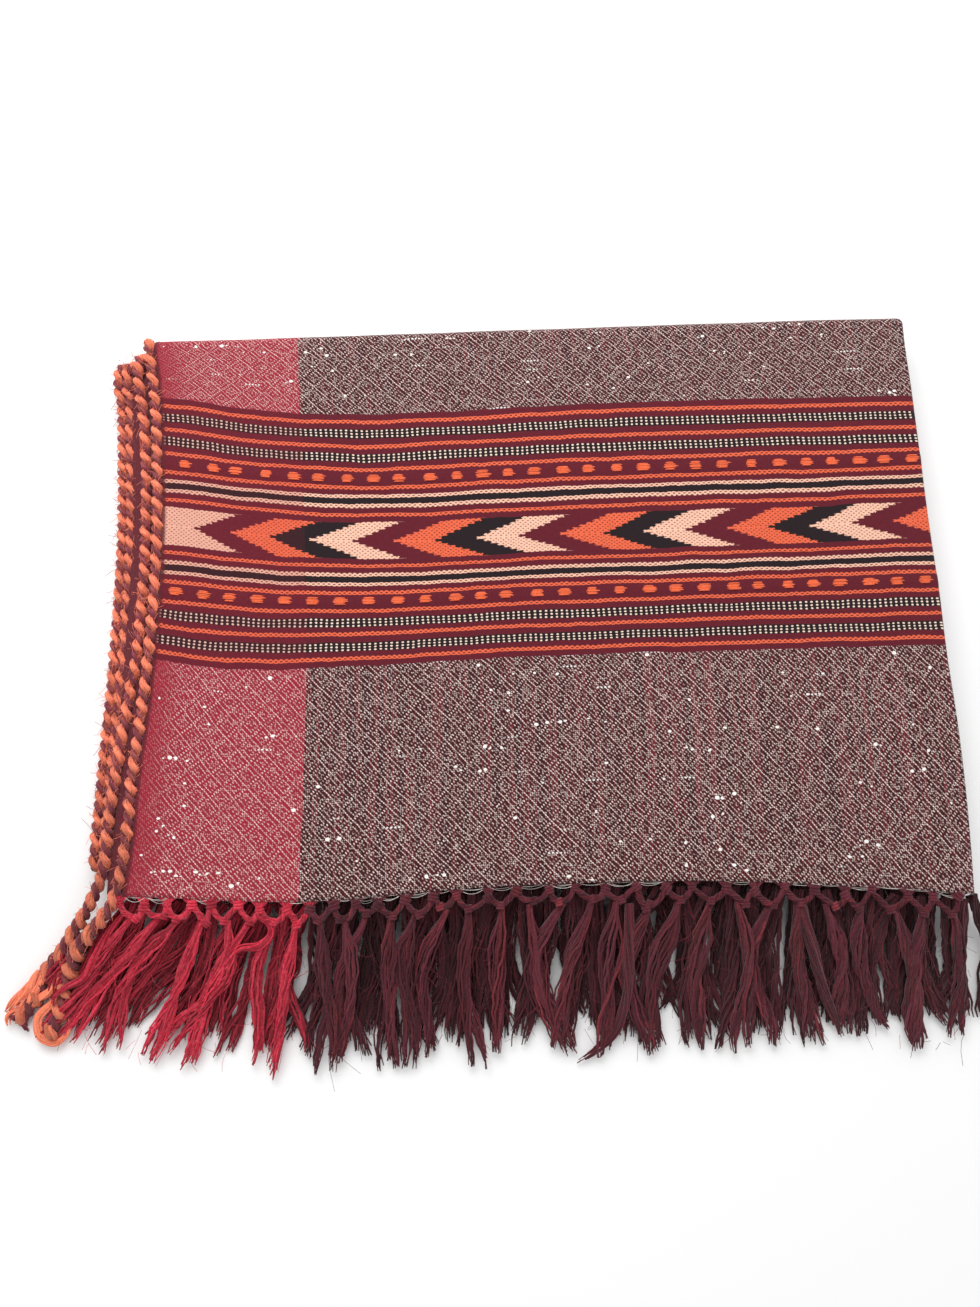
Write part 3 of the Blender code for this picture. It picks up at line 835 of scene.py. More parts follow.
@dataclass(frozen=True)
class WovenFinish:
    """Finish of the cloth, from the map "Weave": metres from the selvedge and from the hem; painted shade
    darkens the selvedge.
    """

    name: str = "woven_wool"
    surface: WoolSurface = WoolSurface(sheen=0.08)
    warp_red: tuple = srgb(152, 38, 54)
    selvedge_shade_colour: tuple = srgb(96, 26, 38)
    warp_brown: tuple = srgb(62, 19, 25)
    warp_russet: tuple = srgb(108, 42, 47)
    weft: tuple = srgb(252, 238, 230)
    weft_dull: tuple = srgb(206, 178, 168)
    weft_rosy: tuple = srgb(232, 142, 148)
    slub: tuple = srgb(246, 242, 238)
    # Width of the painted shade along the selvedge, where the ropes shade the cloth.
    edge: float = 0.0036
    stripe_blur: float = 0.0004
    run_pitch: float = 0.0071
    hem_row: float = 0.0145
    hem_row_half: float = 0.0018
    hem_row_end: float = 0.052

    def build(self, effects: Effects) -> bpy.types.Material:
        """Make the material.

        Args:
            effects: The shared node groups.

        Returns:
            The cloth's material.
        """
        material = bpy.data.materials.new(self.name)
        shader = self.surface.shader(material)
        w = Wiring(material.node_tree)
        place = w.add("UVMap", uv_map="Weave").outputs[0]
        raw = w.add("SeparateXYZ", place)
        broad, fine = w.drift(place, 30.0, 0.0030), w.drift(place, 190.0, 0.0010)
        u, v = [w.total(raw.outputs[k], w.total(broad[k], fine[k])) for k in range(2)]
        u = w.calc("MINIMUM", u, w.less(CLOTH_WIDTH, u))
        v = w.calc("MINIMUM", v, w.less(CLOTH_LENGTH, v))

        red = w.remap(u, RED_STRIPE - self.stripe_blur, RED_STRIPE + self.stripe_blur, 1.0, 0.0)
        streaks = w.noise(w.vector(w.product(u, 900.0), w.product(v, 6.0)), 1.0, 1.0)
        brown = w.blend(w.remap(streaks, 0.46, 0.66, 0.0, 1.0), self.warp_brown, self.warp_russet)
        warp = w.blend(red, brown, self.warp_red)
        picks = w.noise(w.vector(w.product(u, 60.0), w.product(v, 1700.0)), 1.0)
        weft = w.blend(picks, self.weft_dull, self.weft)
        weft = w.blend(w.product(red, 0.36), weft, self.weft_rosy)
        fading = w.remap(u, 0.003, 0.026, 0.20, 1.0)
        twill = effects.place(w, effects.twill, U=u, V=v, Fading=fading, Warp=warp, Weft=weft)

        share = w.ratio(w.less(v, HEM_TO_BAND), BAND_HEIGHT)
        band = effects.place(w, effects.band, U=u, Share=share, Red_Warp=red)
        in_band = w.below(w.size(w.less(share, 0.5)), 0.5)
        colour = w.blend(in_band, twill.outputs[0], band.outputs[0])
        height = w.add("Mix", data_type="FLOAT")
        w.feed(height.inputs[0], in_band)
        w.feed(height.inputs[2], twill.outputs[1])
        w.feed(height.inputs[3], band.outputs[1])

        slub = w.calc("MAXIMUM", self.slub_mask(w, u, v), self.run_mask(w, effects, u, v))
        slub = w.product(slub, w.less(1.0, in_band))
        slub = w.product(slub, w.calc("GREATER_THAN", u, 0.006))
        colour = w.blend(slub, colour, self.slub)
        # Painted shade: the cloth darkens towards its selvedge, beside and under the ropes.
        colour = w.blend(w.remap(u, 0.3 * self.edge, self.edge, 0.88, 0.0), colour, self.selvedge_shade_colour)
        uneven = effects.place(w, effects.uneven, Colour=colour, Place=place, Scale=420.0, Amount=0.20)
        relief = w.line(uneven.outputs[1], 0.5, height.outputs[0])
        relief = w.line(slub, 1.5, relief)
        bump = w.add("Bump", 0.6, 0.0004)
        w.feed(bump.inputs["Height"], relief)
        w.feed(shader.inputs["Base Color"], uneven.outputs[0])
        w.feed(shader.inputs["Normal"], bump.outputs[0])
        return material

    def slub_mask(self, w: Wiring, u: Socket, v: Socket) -> Socket:
        """White specks of uncarded wool, in clusters on some picks, and a row of them at the hem.

        Args:
            w: The material's wiring.
            u: Metres from the selvedge.
            v: Metres from the hem.

        Returns:
            The mask.
        """
        place = w.vector(w.product(u, 290.0), w.product(v, 330.0))
        cells = w.add("TexVoronoi", place)
        cells.inputs["Scale"].default_value = 1.0
        rows = w.vector(w.product(u, 22.0), w.product(v, 160.0), 7.0)
        often = w.remap(w.noise(rows, 1.0, 0.0), 0.50, 0.76, 0.0, 0.34)
        near_hem = w.remap(v, 0.0, 0.13, 0.035, 0.0)
        in_row = w.below(w.size(w.less(v, self.hem_row)), self.hem_row_half)
        in_row = w.product(in_row, w.below(u, self.hem_row_end))
        often = w.total(w.total(often, near_hem), w.product(in_row, 0.62))
        chance = w.channels(cells.outputs["Color"])[0]
        size = w.remap(w.total(chance, often), 0.95, 1.25, 0.0, 0.42)
        ragged = w.product(w.noise(place, 5.0), 0.12)
        return w.remap(w.less(w.total(cells.outputs["Distance"], ragged), size), 0.0, 0.06, 1.0, 0.0)

    def run_mask(self, w: Wiring, effects: Effects, u: Socket, v: Socket) -> Socket:
        """Short runs of even white drops, each along one pick.

        Args:
            w: The material's wiring.
            effects: The shared node groups.
            u: Metres from the selvedge.
            v: Metres from the hem.

        Returns:
            The mask.
        """
        drops = effects.place(w, effects.dots, U=u, W=v, Pitch_U=0.0023, Pitch_W=self.run_pitch,
                              Half_U=0.00062, Half_W=0.00054, Shift=0.5).outputs[0]
        row = w.calc("FLOOR", w.ratio(v, self.run_pitch))
        stretch = w.noise(w.vector(w.product(u, 38.0), w.product(row, 3.7)), 1.0, 1.0)
        return w.product(drops, w.remap(stretch, 0.66, 0.72, 0.0, 1.0))


@dataclass(frozen=True)
class YarnFinish:
    """Finish of loose yarns, dyed by the colour that each carries in its attribute "dye"."""

    name: str
    amount: float = 0.5
    scale: float = 900.0
    surface: WoolSurface = WoolSurface(sheen=0.18)

    def build(self, effects: Effects) -> bpy.types.Material:
        """Make the material.

        Args:
            effects: The shared node groups.

        Returns:
            The yarns' material.
        """
        material = bpy.data.materials.new(self.name)
        shader = self.surface.shader(material)
        w = Wiring(material.node_tree)
        dye = w.add("Attribute", attribute_name="dye").outputs["Color"]
        place = w.add("TexCoord").outputs["Object"]
        uneven = Effects.place(w, effects.uneven, Colour=dye, Place=place, Scale=self.scale,
                               Amount=self.amount)
        bump = w.add("Bump", 0.5, 0.0003)
        w.feed(bump.inputs["Height"], uneven.outputs[1])
        w.feed(shader.inputs["Base Color"], uneven.outputs[0])
        w.feed(shader.inputs["Normal"], bump.outputs[0])
        return material


def build_object(name: str, points: Array, quads: Array) -> bpy.types.Object:
    """Make an object from points and four-sided faces.

    Args:
        name: The piece's name.
        points: Points in the drawing's place, one row each.
        quads: Point numbers of each face, one row each.

    Returns:
        The new object, smooth shaded and in the frame's place.
    """
    mesh = bpy.data.meshes.new(name)
    points = np.asarray(points, float) + SHIFT
    mesh.vertices.add(len(points))
    mesh.vertices.foreach_set("co", points.ravel())
    mesh.loops.add(quads.size)
    mesh.loops.foreach_set("vertex_index", np.ascontiguousarray(quads, dtype=np.int32).ravel())
    mesh.polygons.add(len(quads))
    mesh.polygons.foreach_set("loop_start", np.arange(0, quads.size, 4, dtype=np.int32))
    mesh.update(calc_edges=True)
    mesh.validate()
    mesh.shade_smooth()
    piece = bpy.data.objects.new(name, mesh)
    bpy.context.scene.collection.objects.link(piece)
    return piece


def finish_piece(
    piece: bpy.types.Object, material: bpy.types.Material, slot: str, *nodes: str
) -> bpy.types.Object:
    """Dress a piece, let it ride on the shawl's body and hide the solids that it stands for.

    Args:
        piece: The piece.
        material: Its material.
        slot: Not used.
        nodes: Solids that it replaces.

    Returns:
        The same piece.
    """
    piece.data.materials.append(material)
    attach(piece, "root")
    if nodes:
        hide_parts(*nodes)
    LOG.info("%s: %d faces", piece.name, len(piece.data.polygons))
    return piece


def woven_sheet(name: str, middle: Array, weave: Array, thickness: float) -> bpy.types.Object:
    """Make a cloth of some thickness from a grid of points.

    Args:
        name: The piece's name.
        middle: Points of the cloth's middle, rows by columns by three.
        weave: Metres from the selvedge and from the hem at each point.
        thickness: Thickness of the cloth.

    Returns:
        The cloth, with the maps "Weave" and "OFBake".
    """
    rows, columns = middle.shape[:2]
    normals = unit(np.cross(np.gradient(middle, axis=1), np.gradient(middle, axis=0)))
    sides = [middle + normals * thickness / 2, middle - normals * thickness / 2]
    points = np.concatenate([side.reshape(-1, 3) for side in sides])
    number = np.arange(rows * columns).reshape(rows, columns)
    top = np.stack([number[:-1, :-1], number[:-1, 1:], number[1:, 1:], number[1:, :-1]], axis=-1)
    top = top.reshape(-1, 4)
    low = top[:, ::-1] + rows * columns
    border = np.concatenate([number[0, :-1], number[:-1, -1], number[-1, :0:-1], number[:0:-1, 0]])
    after = np.roll(border, -1)
    rim = np.stack([after, border, border + rows * columns, after + rows * columns], axis=-1)
    quads = np.concatenate([top, low, rim])
    piece = build_object(name, points, quads)
    grid_v, grid_u = np.meshgrid(np.linspace(0, 1, rows), np.linspace(0, 1, columns), indexing="ij")
    flat = np.stack([grid_u, grid_v], axis=-1).reshape(-1, 2)
    bake = np.concatenate([flat * (0.998, 0.84) + (0.001, 0.002), flat * (0.998, 0.14) + (0.001, 0.85)])
    both = np.concatenate([weave.reshape(-1, 2)] * 2)
    corners = np.zeros(len(piece.data.loops), dtype=np.int32)
    piece.data.loops.foreach_get("vertex_index", corners)
    for label, values in (("Weave", both), ("OFBake", bake)):
        layer = piece.data.uv_layers.new(name=label)
        layer.data.foreach_set("uv", values[corners].ravel())
    return piece


def add_far_roll(
    middle: list[Array], weave: list[Array], turns: Array, reach: Array, cloth_radius: float
) -> None:
    """Carry a ply on over the far fold.

    Args:
        middle: Rows of the ply so far.
        weave: Metres from the selvedge and from the hem for each row so far.
        turns: Angle of each new row round the fold's axis.
        reach: How far each point lies from the axis.
        cloth_radius: Radius at which the cloth's length is measured.
    """
    last, last_weave = middle[-1], weave[-1]
    for angle in turns:
        y = far_axis_y(last[:, 0]) + reach * math.sin(angle)
        z = FAR_AXIS_Z + reach * math.cos(angle)
        middle.append(np.stack([last[:, 0], y, z], axis=-1))
        weave.append(last_weave + (0.0, angle * cloth_radius))


@dataclass
class TopPly:
    """The ply that shows, with its side fold and its roll over the far fold."""

    columns: int = 186
    hem_rows: int = 50
    band_rows: int = 36
    fold_rows: int = 20
    lip_steps: int = 8
    turn_steps: int = 14
    turn_degrees: float = 172
    roll_inset: float = 0.0008
    inside_fold: float = 0.0018
    lip_radius: float = PLY / 2 + 0.0002
    lip_reach: float = 1.7
    lip_cloth: float = 1.3
    middle_z: float = STACK - CLOTH_THICK / 2

    def rows(self) -> list[tuple[int, float]]:
        """Level rows from the hem to the band, over its two halves, and on to the far fold.

        Returns:
            The zone's number and the share of the zone for each row.
        """
        places = [(0, s) for s in np.linspace(0, 1, self.hem_rows)[:-1]]
        places += [(zone, s) for zone in (1, 2) for s in np.linspace(0, 1, self.band_rows)[:-1]]
        return places + [(3, s) for s in np.linspace(0, 1, self.fold_rows)]

    def level_point(self, x: Array, zone: int, share: float) -> tuple[Array, Array, float]:
        """Place of a level row.

        Args:
            x: Places across the shawl.
            zone: The zone's number.
            share: How far the row lies through the zone.

        Returns:
            y and z at each place, and metres from the hem.
        """
        lines = (hem_y(x), band_line(x, BAND_LOW_Y), band_line(x, BAND_MID_Y),
                 band_line(x, BAND_HIGH_Y), far_axis_y(x))
        y = lines[zone] + share * (lines[zone + 1] - lines[zone])
        z = self.middle_z + swell_height(x, y)
        if zone in (1, 2):
            inlay = 0.514 if zone == 1 else 0.486
            z = z + INLAY_LIFT * (1 - smooth_step(abs(share - inlay), 0.032, 0.064))
        lengths = (HEM_TO_BAND, BAND_HEIGHT / 2, BAND_HEIGHT / 2, BAND_TO_FOLD)
        return y, z, sum(lengths[:zone]) + share * lengths[zone]

    def band_point(self, x: Array, share: float) -> tuple[Array, Array]:
        """y and z of the band at a share of its height."""
        half = 0 if share < 0.5 else 1
        return self.level_point(x, 1 + half, share * 2 - half)[:2]

    def build(self, material: bpy.types.Material) -> bpy.types.Object:
        """Build and dress the ply.

        Args:
            material: Its material.

        Returns:
            The finished piece.
        """
        radius = self.lip_radius
        middle, weave = [], []
        angles = np.linspace(0, math.pi, self.lip_steps + 1)[1:]
        for zone, share in self.rows():
            y_mid = self.level_point(np.array([0.0]), zone, share)[0]
            left = cloth_left(self.level_point(cloth_left(y_mid), zone, share)[0])[0]
            right_y = self.level_point(np.array([ROUGH_RIGHT]), zone, share)[0]
            right = cloth_right(right_y)[0] - self.inside_fold
            x = np.linspace(left, right, self.columns)
            y, z, along = self.level_point(x, zone, share)
            lip_x = right + self.lip_reach * radius * np.sin(angles)
            lip_z = z[-1] - radius + radius * np.cos(angles)
            xs = np.concatenate([x, lip_x])
            zs = np.concatenate([z, lip_z])
            ys = np.concatenate([y, np.full(len(angles), y[-1])])
            middle.append(np.stack([xs, ys, zs], axis=-1))
            bounds = float(curve_value(y_mid, STRIPE_Y, STRIPE_X)[0])
            across = np.concatenate([x - bounds, x[-1] - bounds + radius * self.lip_cloth * angles])
            across = np.where(across < 0, across * RED_STRIPE / (bounds - left), across) + RED_STRIPE
            weave.append(np.stack([across, np.full(len(xs), along)], axis=-1))
        reach = FAR_RADIUS + middle[-1][:, 2] - STACK
        turns = np.radians(self.turn_degrees) * np.arange(1, self.turn_steps + 1) / self.turn_steps
        add_far_roll(middle, weave, turns, reach, FAR_RADIUS - self.roll_inset)
        piece = woven_sheet("top_ply", np.array(middle), np.array(weave), CLOTH_THICK)
        finish_piece(piece, material, "woven_wool", "top_cloth")
        return piece


def near_axis(x: Array) -> Array:
    """Axis of the near fold."""
    return NEAR_ROLL_Y + 0.0006 * np.sin(17 * x) + 4 * PLY


def first_axis(x: Array) -> Array:
    """Axis of the lowest far fold, which lies a little further in."""
    return curve_value(x, WEAVE_X, FAR_FOLD_Y) - FIRST_FOLD_SETBACK - 2 * PLY


def lower_hem_y(x: Array) -> Array:
    """Hem of the other end, under the top one."""
    return hem_y(x) + 0.0007


@dataclass(frozen=True)
class Run:
    """A level stretch of the folded cloth, doubled at its side fold."""

    start: Callable[[Array], Array]
    end: Callable[[Array], Array]
    z: float
    facing: float
    length: float = 0.345
    steps: int = 34

    def place(self, x: Array, offset: Array, share: float) -> tuple[Array, Array]:
        """Place of the cloth at a share of the stretch.

        Args:
            x: Places across the shawl.
            offset: How far each lies from the middle of the doubled cloth.
            share: The share of the stretch.

        Returns:
            y and z at each place.
        """
        y = self.start(x) + share * (self.end(x) - self.start(x))
        wave = 0.00022 * np.sin(40 * y + 900 * self.z) * np.sin(33 * x + 630 * self.z)
        return y, self.z + self.facing * offset + wave * math.sin(math.pi * share)


@dataclass(frozen=True)
class Turn:
    """Half a turn of the folded cloth round a fold's axis."""

    axis: Callable[[Array], Array]
    z: float
    radius: float
    side: float
    falling: float
    outside: float
    steps: int = 10

    @property
    def length(self) -> float:
        """Length of the turn along the cloth."""
        return math.pi * self.radius

    def place(self, x: Array, offset: Array, share: float) -> tuple[Array, Array]:
        """Place of the cloth at a share of the turn.

        Args:
            x: Places across the shawl.
            offset: How far each lies from the middle of the doubled cloth.
            share: The share of the turn.

        Returns:
            y and z at each place.
        """
        reach = self.radius + self.outside * offset
        y = self.axis(x) + self.side * reach * math.sin(math.pi * share)
        return y, self.z + self.falling * reach * math.cos(math.pi * share)


@dataclass
class LowerPlies:
    """The ten lowest plies: the cloth goes on along its folds, doubled at the side fold."""

    ply_columns: int = 30
    arc_steps: int = 8
    half_gap: float = PLY / 2
    fold_bulge: float = 1.3 * PLY / 2
    level_step: float = 0.0002
    legs: tuple[Union[Run, Turn], ...] = (
        Run(far_axis_y, near_axis, 5 * PLY, -1.0),
        Turn(near_axis, 4 * PLY, PLY, -1.0, 1.0, -1.0),
        Run(near_axis, first_axis, 3 * PLY, 1.0),
        Turn(first_axis, 2 * PLY, PLY, 1.0, 1.0, 1.0),
        Run(first_axis, near_axis, PLY, -1.0),
        Turn(near_axis, 4 * PLY, 3 * PLY, -1.0, -1.0, 1.0),
        Run(near_axis, far_axis_y, 7 * PLY, 1.0),
        Turn(far_axis_y, 8 * PLY, PLY, 1.0, -1.0, -1.0),
        Run(far_axis_y, lower_hem_y, 9 * PLY, -1.0),
    )

    def section(self, leg: Union[Run, Turn], part: float) -> tuple[Array, Array]:
        """One row across both plies and their side fold.

        Args:
            leg: The stretch or turn that the row lies in.
            part: The share of it where the row lies.

        Returns:
            Points of the row and metres from the selvedge.
        """
        share = np.linspace(0, 1, self.ply_columns) ** 0.8
        angles = np.linspace(0, math.pi, self.arc_steps + 2)[1:-1]
        offsets = np.concatenate([
            np.full(self.ply_columns, self.half_gap), self.half_gap * np.cos(angles),
            np.full(self.ply_columns, -self.half_gap),
        ])
        across = np.concatenate([share, np.ones(len(angles)), share[::-1]])
        flat = np.zeros(self.ply_columns)
        bulge = np.concatenate([flat, np.sin(angles), flat]) * self.fold_bulge
        x = across * HALF_WIDTH + ROUGH_LEFT
        for _ in range(3):
            y, z = leg.place(x, offsets, part)
            left = stack_left(y, z)
            level = z - z % self.level_step
            right = stack_right(y, level) - self.fold_bulge - CLOTH_THICK / 2
            x = left + across * (right - left) + bulge
        y, z = leg.place(x, offsets, part)
        measured = across * HALF_WIDTH
        far_side = np.arange(len(across)) >= len(across) // 2
        from_edge = np.where(far_side, CLOTH_WIDTH - measured, measured)
        return np.stack([x, y, z], axis=-1), from_edge

    def build(self, material: bpy.types.Material) -> bpy.types.Object:
        """Build and dress the hidden plies.

        Args:
            material: Its material.

        Returns:
            The finished piece.
        """
        middle, weave = [], []
        length = HEM_TO_BAND + BAND_HEIGHT + BAND_TO_FOLD + math.pi * 3 * PLY
        for leg in self.legs:
            for share in np.linspace(0, 1, leg.steps + 1)[1:]:
                points, across = self.section(leg, share)
                middle.append(points)
                along = np.full(len(across), length + leg.length * share)
                weave.append(np.stack([across, along], axis=-1))
            length += leg.length
        piece = woven_sheet("lower_plies", np.array(middle), np.array(weave), CLOTH_THICK)
        finish_piece(piece, material, "woven_wool", "folded_layers")
        return piece


@dataclass
class SecondPly:
    """The ply under the top one: the other half of the width, from the hem round the far fold."""

    columns: int = 60
    run_steps: int = 60
    turn_steps: int = 12
    turn_degrees: float = 178
    length: float = HEM_TO_BAND + BAND_HEIGHT + BAND_TO_FOLD
    z_level: float = 10.5 * PLY
    behind_hem: float = 0.0005
    inside_fold: float = 0.0024

    def row_y(self, x: Array, share: float) -> Array:
        """Place along the shawl, from the hem to the far fold's axis."""
        return (hem_y(x) + self.behind_hem) * (1 - share) + far_axis_y(x) * share

    def build(self, material: bpy.types.Material) -> bpy.types.Object:
        """Build and dress the ply.

        Args:
            material: Its material.

        Returns:
            The finished piece.
        """
        radius = self.z_level - FAR_AXIS_Z
        middle, weave = [], []
        shares = np.linspace(0, 1, self.columns)
        for share in np.linspace(0, 1, self.run_steps):
            x = np.linspace(ROUGH_LEFT, ROUGH_RIGHT, self.columns)
            for _ in range(3):
                y = self.row_y(x, share)
                left = cloth_left(y) + SEAM
                x = left + shares * (cloth_right(y) - self.inside_fold - left)
            y = self.row_y(x, share)
            z = np.full(self.columns, self.z_level - 0.0002) + np.minimum(swell_height(x, y), 0.0)
            middle.append(np.stack([x, y, z], axis=-1))
            across = CLOTH_WIDTH - shares * HALF_WIDTH
            weave.append(np.stack([across, np.full(self.columns, share * self.length)], axis=-1))
        turns = np.radians(self.turn_degrees) * np.arange(1, self.turn_steps + 1) / self.turn_steps
        add_far_roll(middle, weave, turns, np.full(self.columns, radius), radius)
        piece = woven_sheet("second_ply", np.array(middle), np.array(weave), CLOTH_THICK)
        finish_piece(piece, material, "woven_wool", "folded_layers")
        return piece


class Lock(NamedTuple):
    """Make of a free lock: number of yarns, half width and radius of a yarn."""

    yarns: int
    width: float
    thick: float


def even_points(route: Sequence[Sequence[float]], step: float) -> Array:
    """Points at even steps along a smooth curve.

    Args:
        route: Points that the curve goes through.
        step: Wanted distance between the points.

    Returns:
        The points, one row each.
    """
    route = np.asarray(route, float)
    knots = np.concatenate([[0], np.cumsum(np.linalg.norm(np.diff(route, axis=0), axis=1))])
    fine = np.linspace(0, knots[-1], 1600)
    dense = np.stack([curve_value(fine, knots, route[:, k]) for k in range(3)], axis=-1)
    length = np.concatenate([[0], np.cumsum(np.linalg.norm(np.diff(dense, axis=0), axis=1))])
    count = max(2, round(length[-1] / step))
    wanted = np.linspace(0, length[-1], count + 1)
    return np.stack([np.interp(wanted, length, dense[:, k]) for k in range(3)], axis=-1)


def route_frame(route: Array, side: Array) -> tuple[Array, Array, Array]:
    """Directions along a route, and two across it.

    Args:
        route: Points of the route, one row each.
        side: The direction that the first one across leans to.

    Returns:
        At each point the directions along the route, across it, and at right angles to both.
    """
    tangent = unit(np.gradient(route, axis=0))
    across = unit(side - tangent * (tangent @ side)[:, None])
    return tangent, across, np.cross(across, tangent)


@dataclass
class YarnPiece:
    """A piece made of yarns, each with its own route, thickness and dye."""

    name: str
    seed: int
    slot: str = "fringe_wool"
    node: str = ""
    sides: int = 4

    def __post_init__(self) -> None:
        """Start with no yarn, and with the piece's own random draws."""
        self.rng = np.random.default_rng(self.seed)
        self.points: list[Array] = []
        self.quads: list[Array] = []
        self.dyes: list[Array] = []
        self.count = 0

    def add(self, route: Array, radii: Array, dye: Array, side: Array) -> None:
        """Add one yarn.

        Args:
            route: Points along the yarn's middle.
            radii: Its radius at each point, or one number.
            dye: Its colour, one for the yarn or one for each point.
            side: A direction that the yarn never runs along.
        """
        route = np.asarray(route, float)
        steps = len(route)
        radii = np.broadcast_to(np.asarray(radii, float), (steps,))
        _, across, lift = route_frame(route, side)
        turn = np.linspace(0, 2 * math.pi, self.sides, endpoint=False) + math.pi / 4
        rings = route[:, None, :] + radii[:, None, None] * (
            np.cos(turn)[None, :, None] * across[:, None, :]
            + np.sin(turn)[None, :, None] * lift[:, None, :]
        )
        number = self.count + np.arange(steps * self.sides).reshape(steps, self.sides)
        after = np.roll(number, -1, axis=1)
        walls = np.stack([number[:-1], after[:-1], after[1:], number[1:]], axis=-1).reshape(-1, 4)
        ends = []
        for ring in (number[0][::-1], number[-1]):
            ends += [(ring[0], ring[k], ring[k + 1], ring[k + 2]) for k in range(1, self.sides - 2, 2)]
        self.points.append(rings.reshape(-1, 3))
        self.quads.append(np.concatenate([walls, np.array(ends)]))
        colour = np.broadcast_to(np.asarray(dye, float)[..., :3], (steps, 3))
        self.dyes.append(np.repeat(colour, self.sides, axis=0))
        self.count += steps * self.sides

    def add_lock(self, points: Sequence[Sequence[float]], make: Lock, dye: Callable[[], Array]) -> None:
        """Add a soft lock of yarns along a route.

        Args:
            points: Its route.
            make: Its make.
            dye: Draws the colour of a yarn.
        """
        rng = self.rng
        middle = even_points(points, LOCK_STEP)
        share = np.linspace(0, 1, len(middle))
        across = np.cross(unit(np.gradient(middle, axis=0)), Z_AXIS)
        full = np.sin(math.pi * np.clip(share * 0.80 + 0.16, 0, 1)) ** 0.6
        for k in range(make.yarns):
            turn = 2 * math.pi * k / make.yarns + 4.0 * share + 0.3 * np.sin(9 * share + 6 * rng.random())
            spread = make.width * full * (0.30 + 0.70 * rng.random())
            route = middle + (np.cos(turn) * spread)[:, None] * across
            route = route + (0.6 * np.sin(turn) * spread)[:, None] * Z_AXIS
            route[:, 2] = np.maximum(route[:, 2], FLOOR_CLEAR)
            kept = max(5, int(len(route) * (0.86 + 0.14 * rng.random())))
            radius = make.thick * (1 - 0.65 * smooth_step(share[:kept] / share[kept - 1], 0.75, 1.0))
            self.add(route[:kept], radius, dye(), Z_AXIS + 0.3 * X_AXIS)

    def fill(self) -> None:
        """Add all the yarns."""
        raise NotImplementedError

    def build(self, material: bpy.types.Material) -> bpy.types.Object:
        """Build and dress the piece, with the yarns' dyes as its colour attribute.

        Args:
            material: Its material.

        Returns:
            The finished piece.
        """
        self.fill()
        piece = build_object(self.name, np.concatenate(self.points), np.concatenate(self.quads))
        dyes = np.concatenate(self.dyes)
        layer = piece.data.color_attributes.new("dye", "FLOAT_COLOR", "POINT")
        layer.data.foreach_set("color", np.hstack([dyes, np.ones((len(dyes), 1))]).ravel())
        nodes = [self.node] if self.node else []
        return finish_piece(piece, material, self.slot, *nodes)


class RopeDye:
    """Dyes of the ropes' two plies."""

    ORANGE = np.array(srgb(250, 138, 104))
    MAROON = np.array(srgb(124, 54, 68))


@dataclass
class SelvedgeRope(YarnPiece):
    """A two-ply rope: a fat orange ply and a thinner maroon one, each of several soft yarns."""

    slot: str = "rope_wool"
    route: Sequence[Sequence[float]] = ()
    loosened: bool = False
    lay: float = 0.0128
    orbit: float = 0.00165
    ply_radius: float = 0.00240
    yarns: int = 7
    yarn_radius: float = 0.00098
    yarn_lay: float = 0.016
    yarn_low: float = 0.0013
    loosening: float = 0.40
    mixing: float = 0.08
    flecks: float = 0.16
    step: float = 0.0012

    def fill(self) -> None:
        """Build the rope."""
        rng = self.rng
        middle = even_points(self.route, self.step)
        middle[:, 2] = np.maximum(middle[:, 2], ROPE_RADIUS + 0.0009)
        _, across, lift = route_frame(middle, X_AXIS)
        along = np.arange(len(middle)) * self.step
        loose = np.ones(len(middle))
        if self.loosened:
            loose += self.loosening * smooth_step(-middle[:, 1], 0.140, 0.185)
        uneven = 1 + 0.06 * np.sin(along * 210 + 3 * rng.random()) * np.sin(along * 83 + 2)
        phase = 0.7 * np.sin(along * 37 + 6 * rng.random()) + 6 * rng.random()
        for ply, dye, other, fat in ((0, RopeDye.ORANGE, RopeDye.MAROON, 1.06),
                                     (1, RopeDye.MAROON, RopeDye.ORANGE, 0.86)):
            angle = 2 * math.pi * along / self.lay + math.pi * ply + phase
            swell = 1 + 0.20 * np.sin(angle + 0.6) * (1 - ply)
            for k in range(self.yarns):
                own = 2 * math.pi * (k / self.yarns - along / self.yarn_lay)
                spread = self.ply_radius * 0.58 * fat * (0.88 + 0.24 * rng.random())
                wander = 0.00016 * np.sin(along * (700 + 400 * rng.random()) + 6 * rng.random())
                out = (self.orbit * uneven + spread * swell * np.cos(own) + wander) * loose
                turned = spread * swell * np.sin(own) * loose
                radial = np.cos(angle)[:, None] * across + np.sin(angle)[:, None] * lift
                normal = -np.sin(angle)[:, None] * across + np.cos(angle)[:, None] * lift
                route = middle + out[:, None] * radial + turned[:, None] * normal
                route[:, 2] = np.maximum(route[:, 2], self.yarn_low)
                knobbly = 1 + 0.22 * np.sin(along * 900 + 5 * rng.random())
                radius = self.yarn_radius * fat * loose * knobbly
                # Painted light: the rope is darker towards its tails and lighter further along, where
                # more light falls from the far side.
                rope_painted_light = 0.70 + 0.30 * smooth_step(middle[:, 1], -0.16, -0.04)
                waves = np.sin(along * (310 + 200 * rng.random()) + 6 * rng.random())
                flecks = np.clip(self.flecks * waves, 0, 1)
                mixed = dye[:3] + (self.mixing * rng.random() + flecks)[:, None] * (other[:3] - dye[:3])
                shade = rope_painted_light[:, None] * mixed * (0.78 + 0.40 * rng.random())
                self.add(route, radius, shade, X_AXIS)


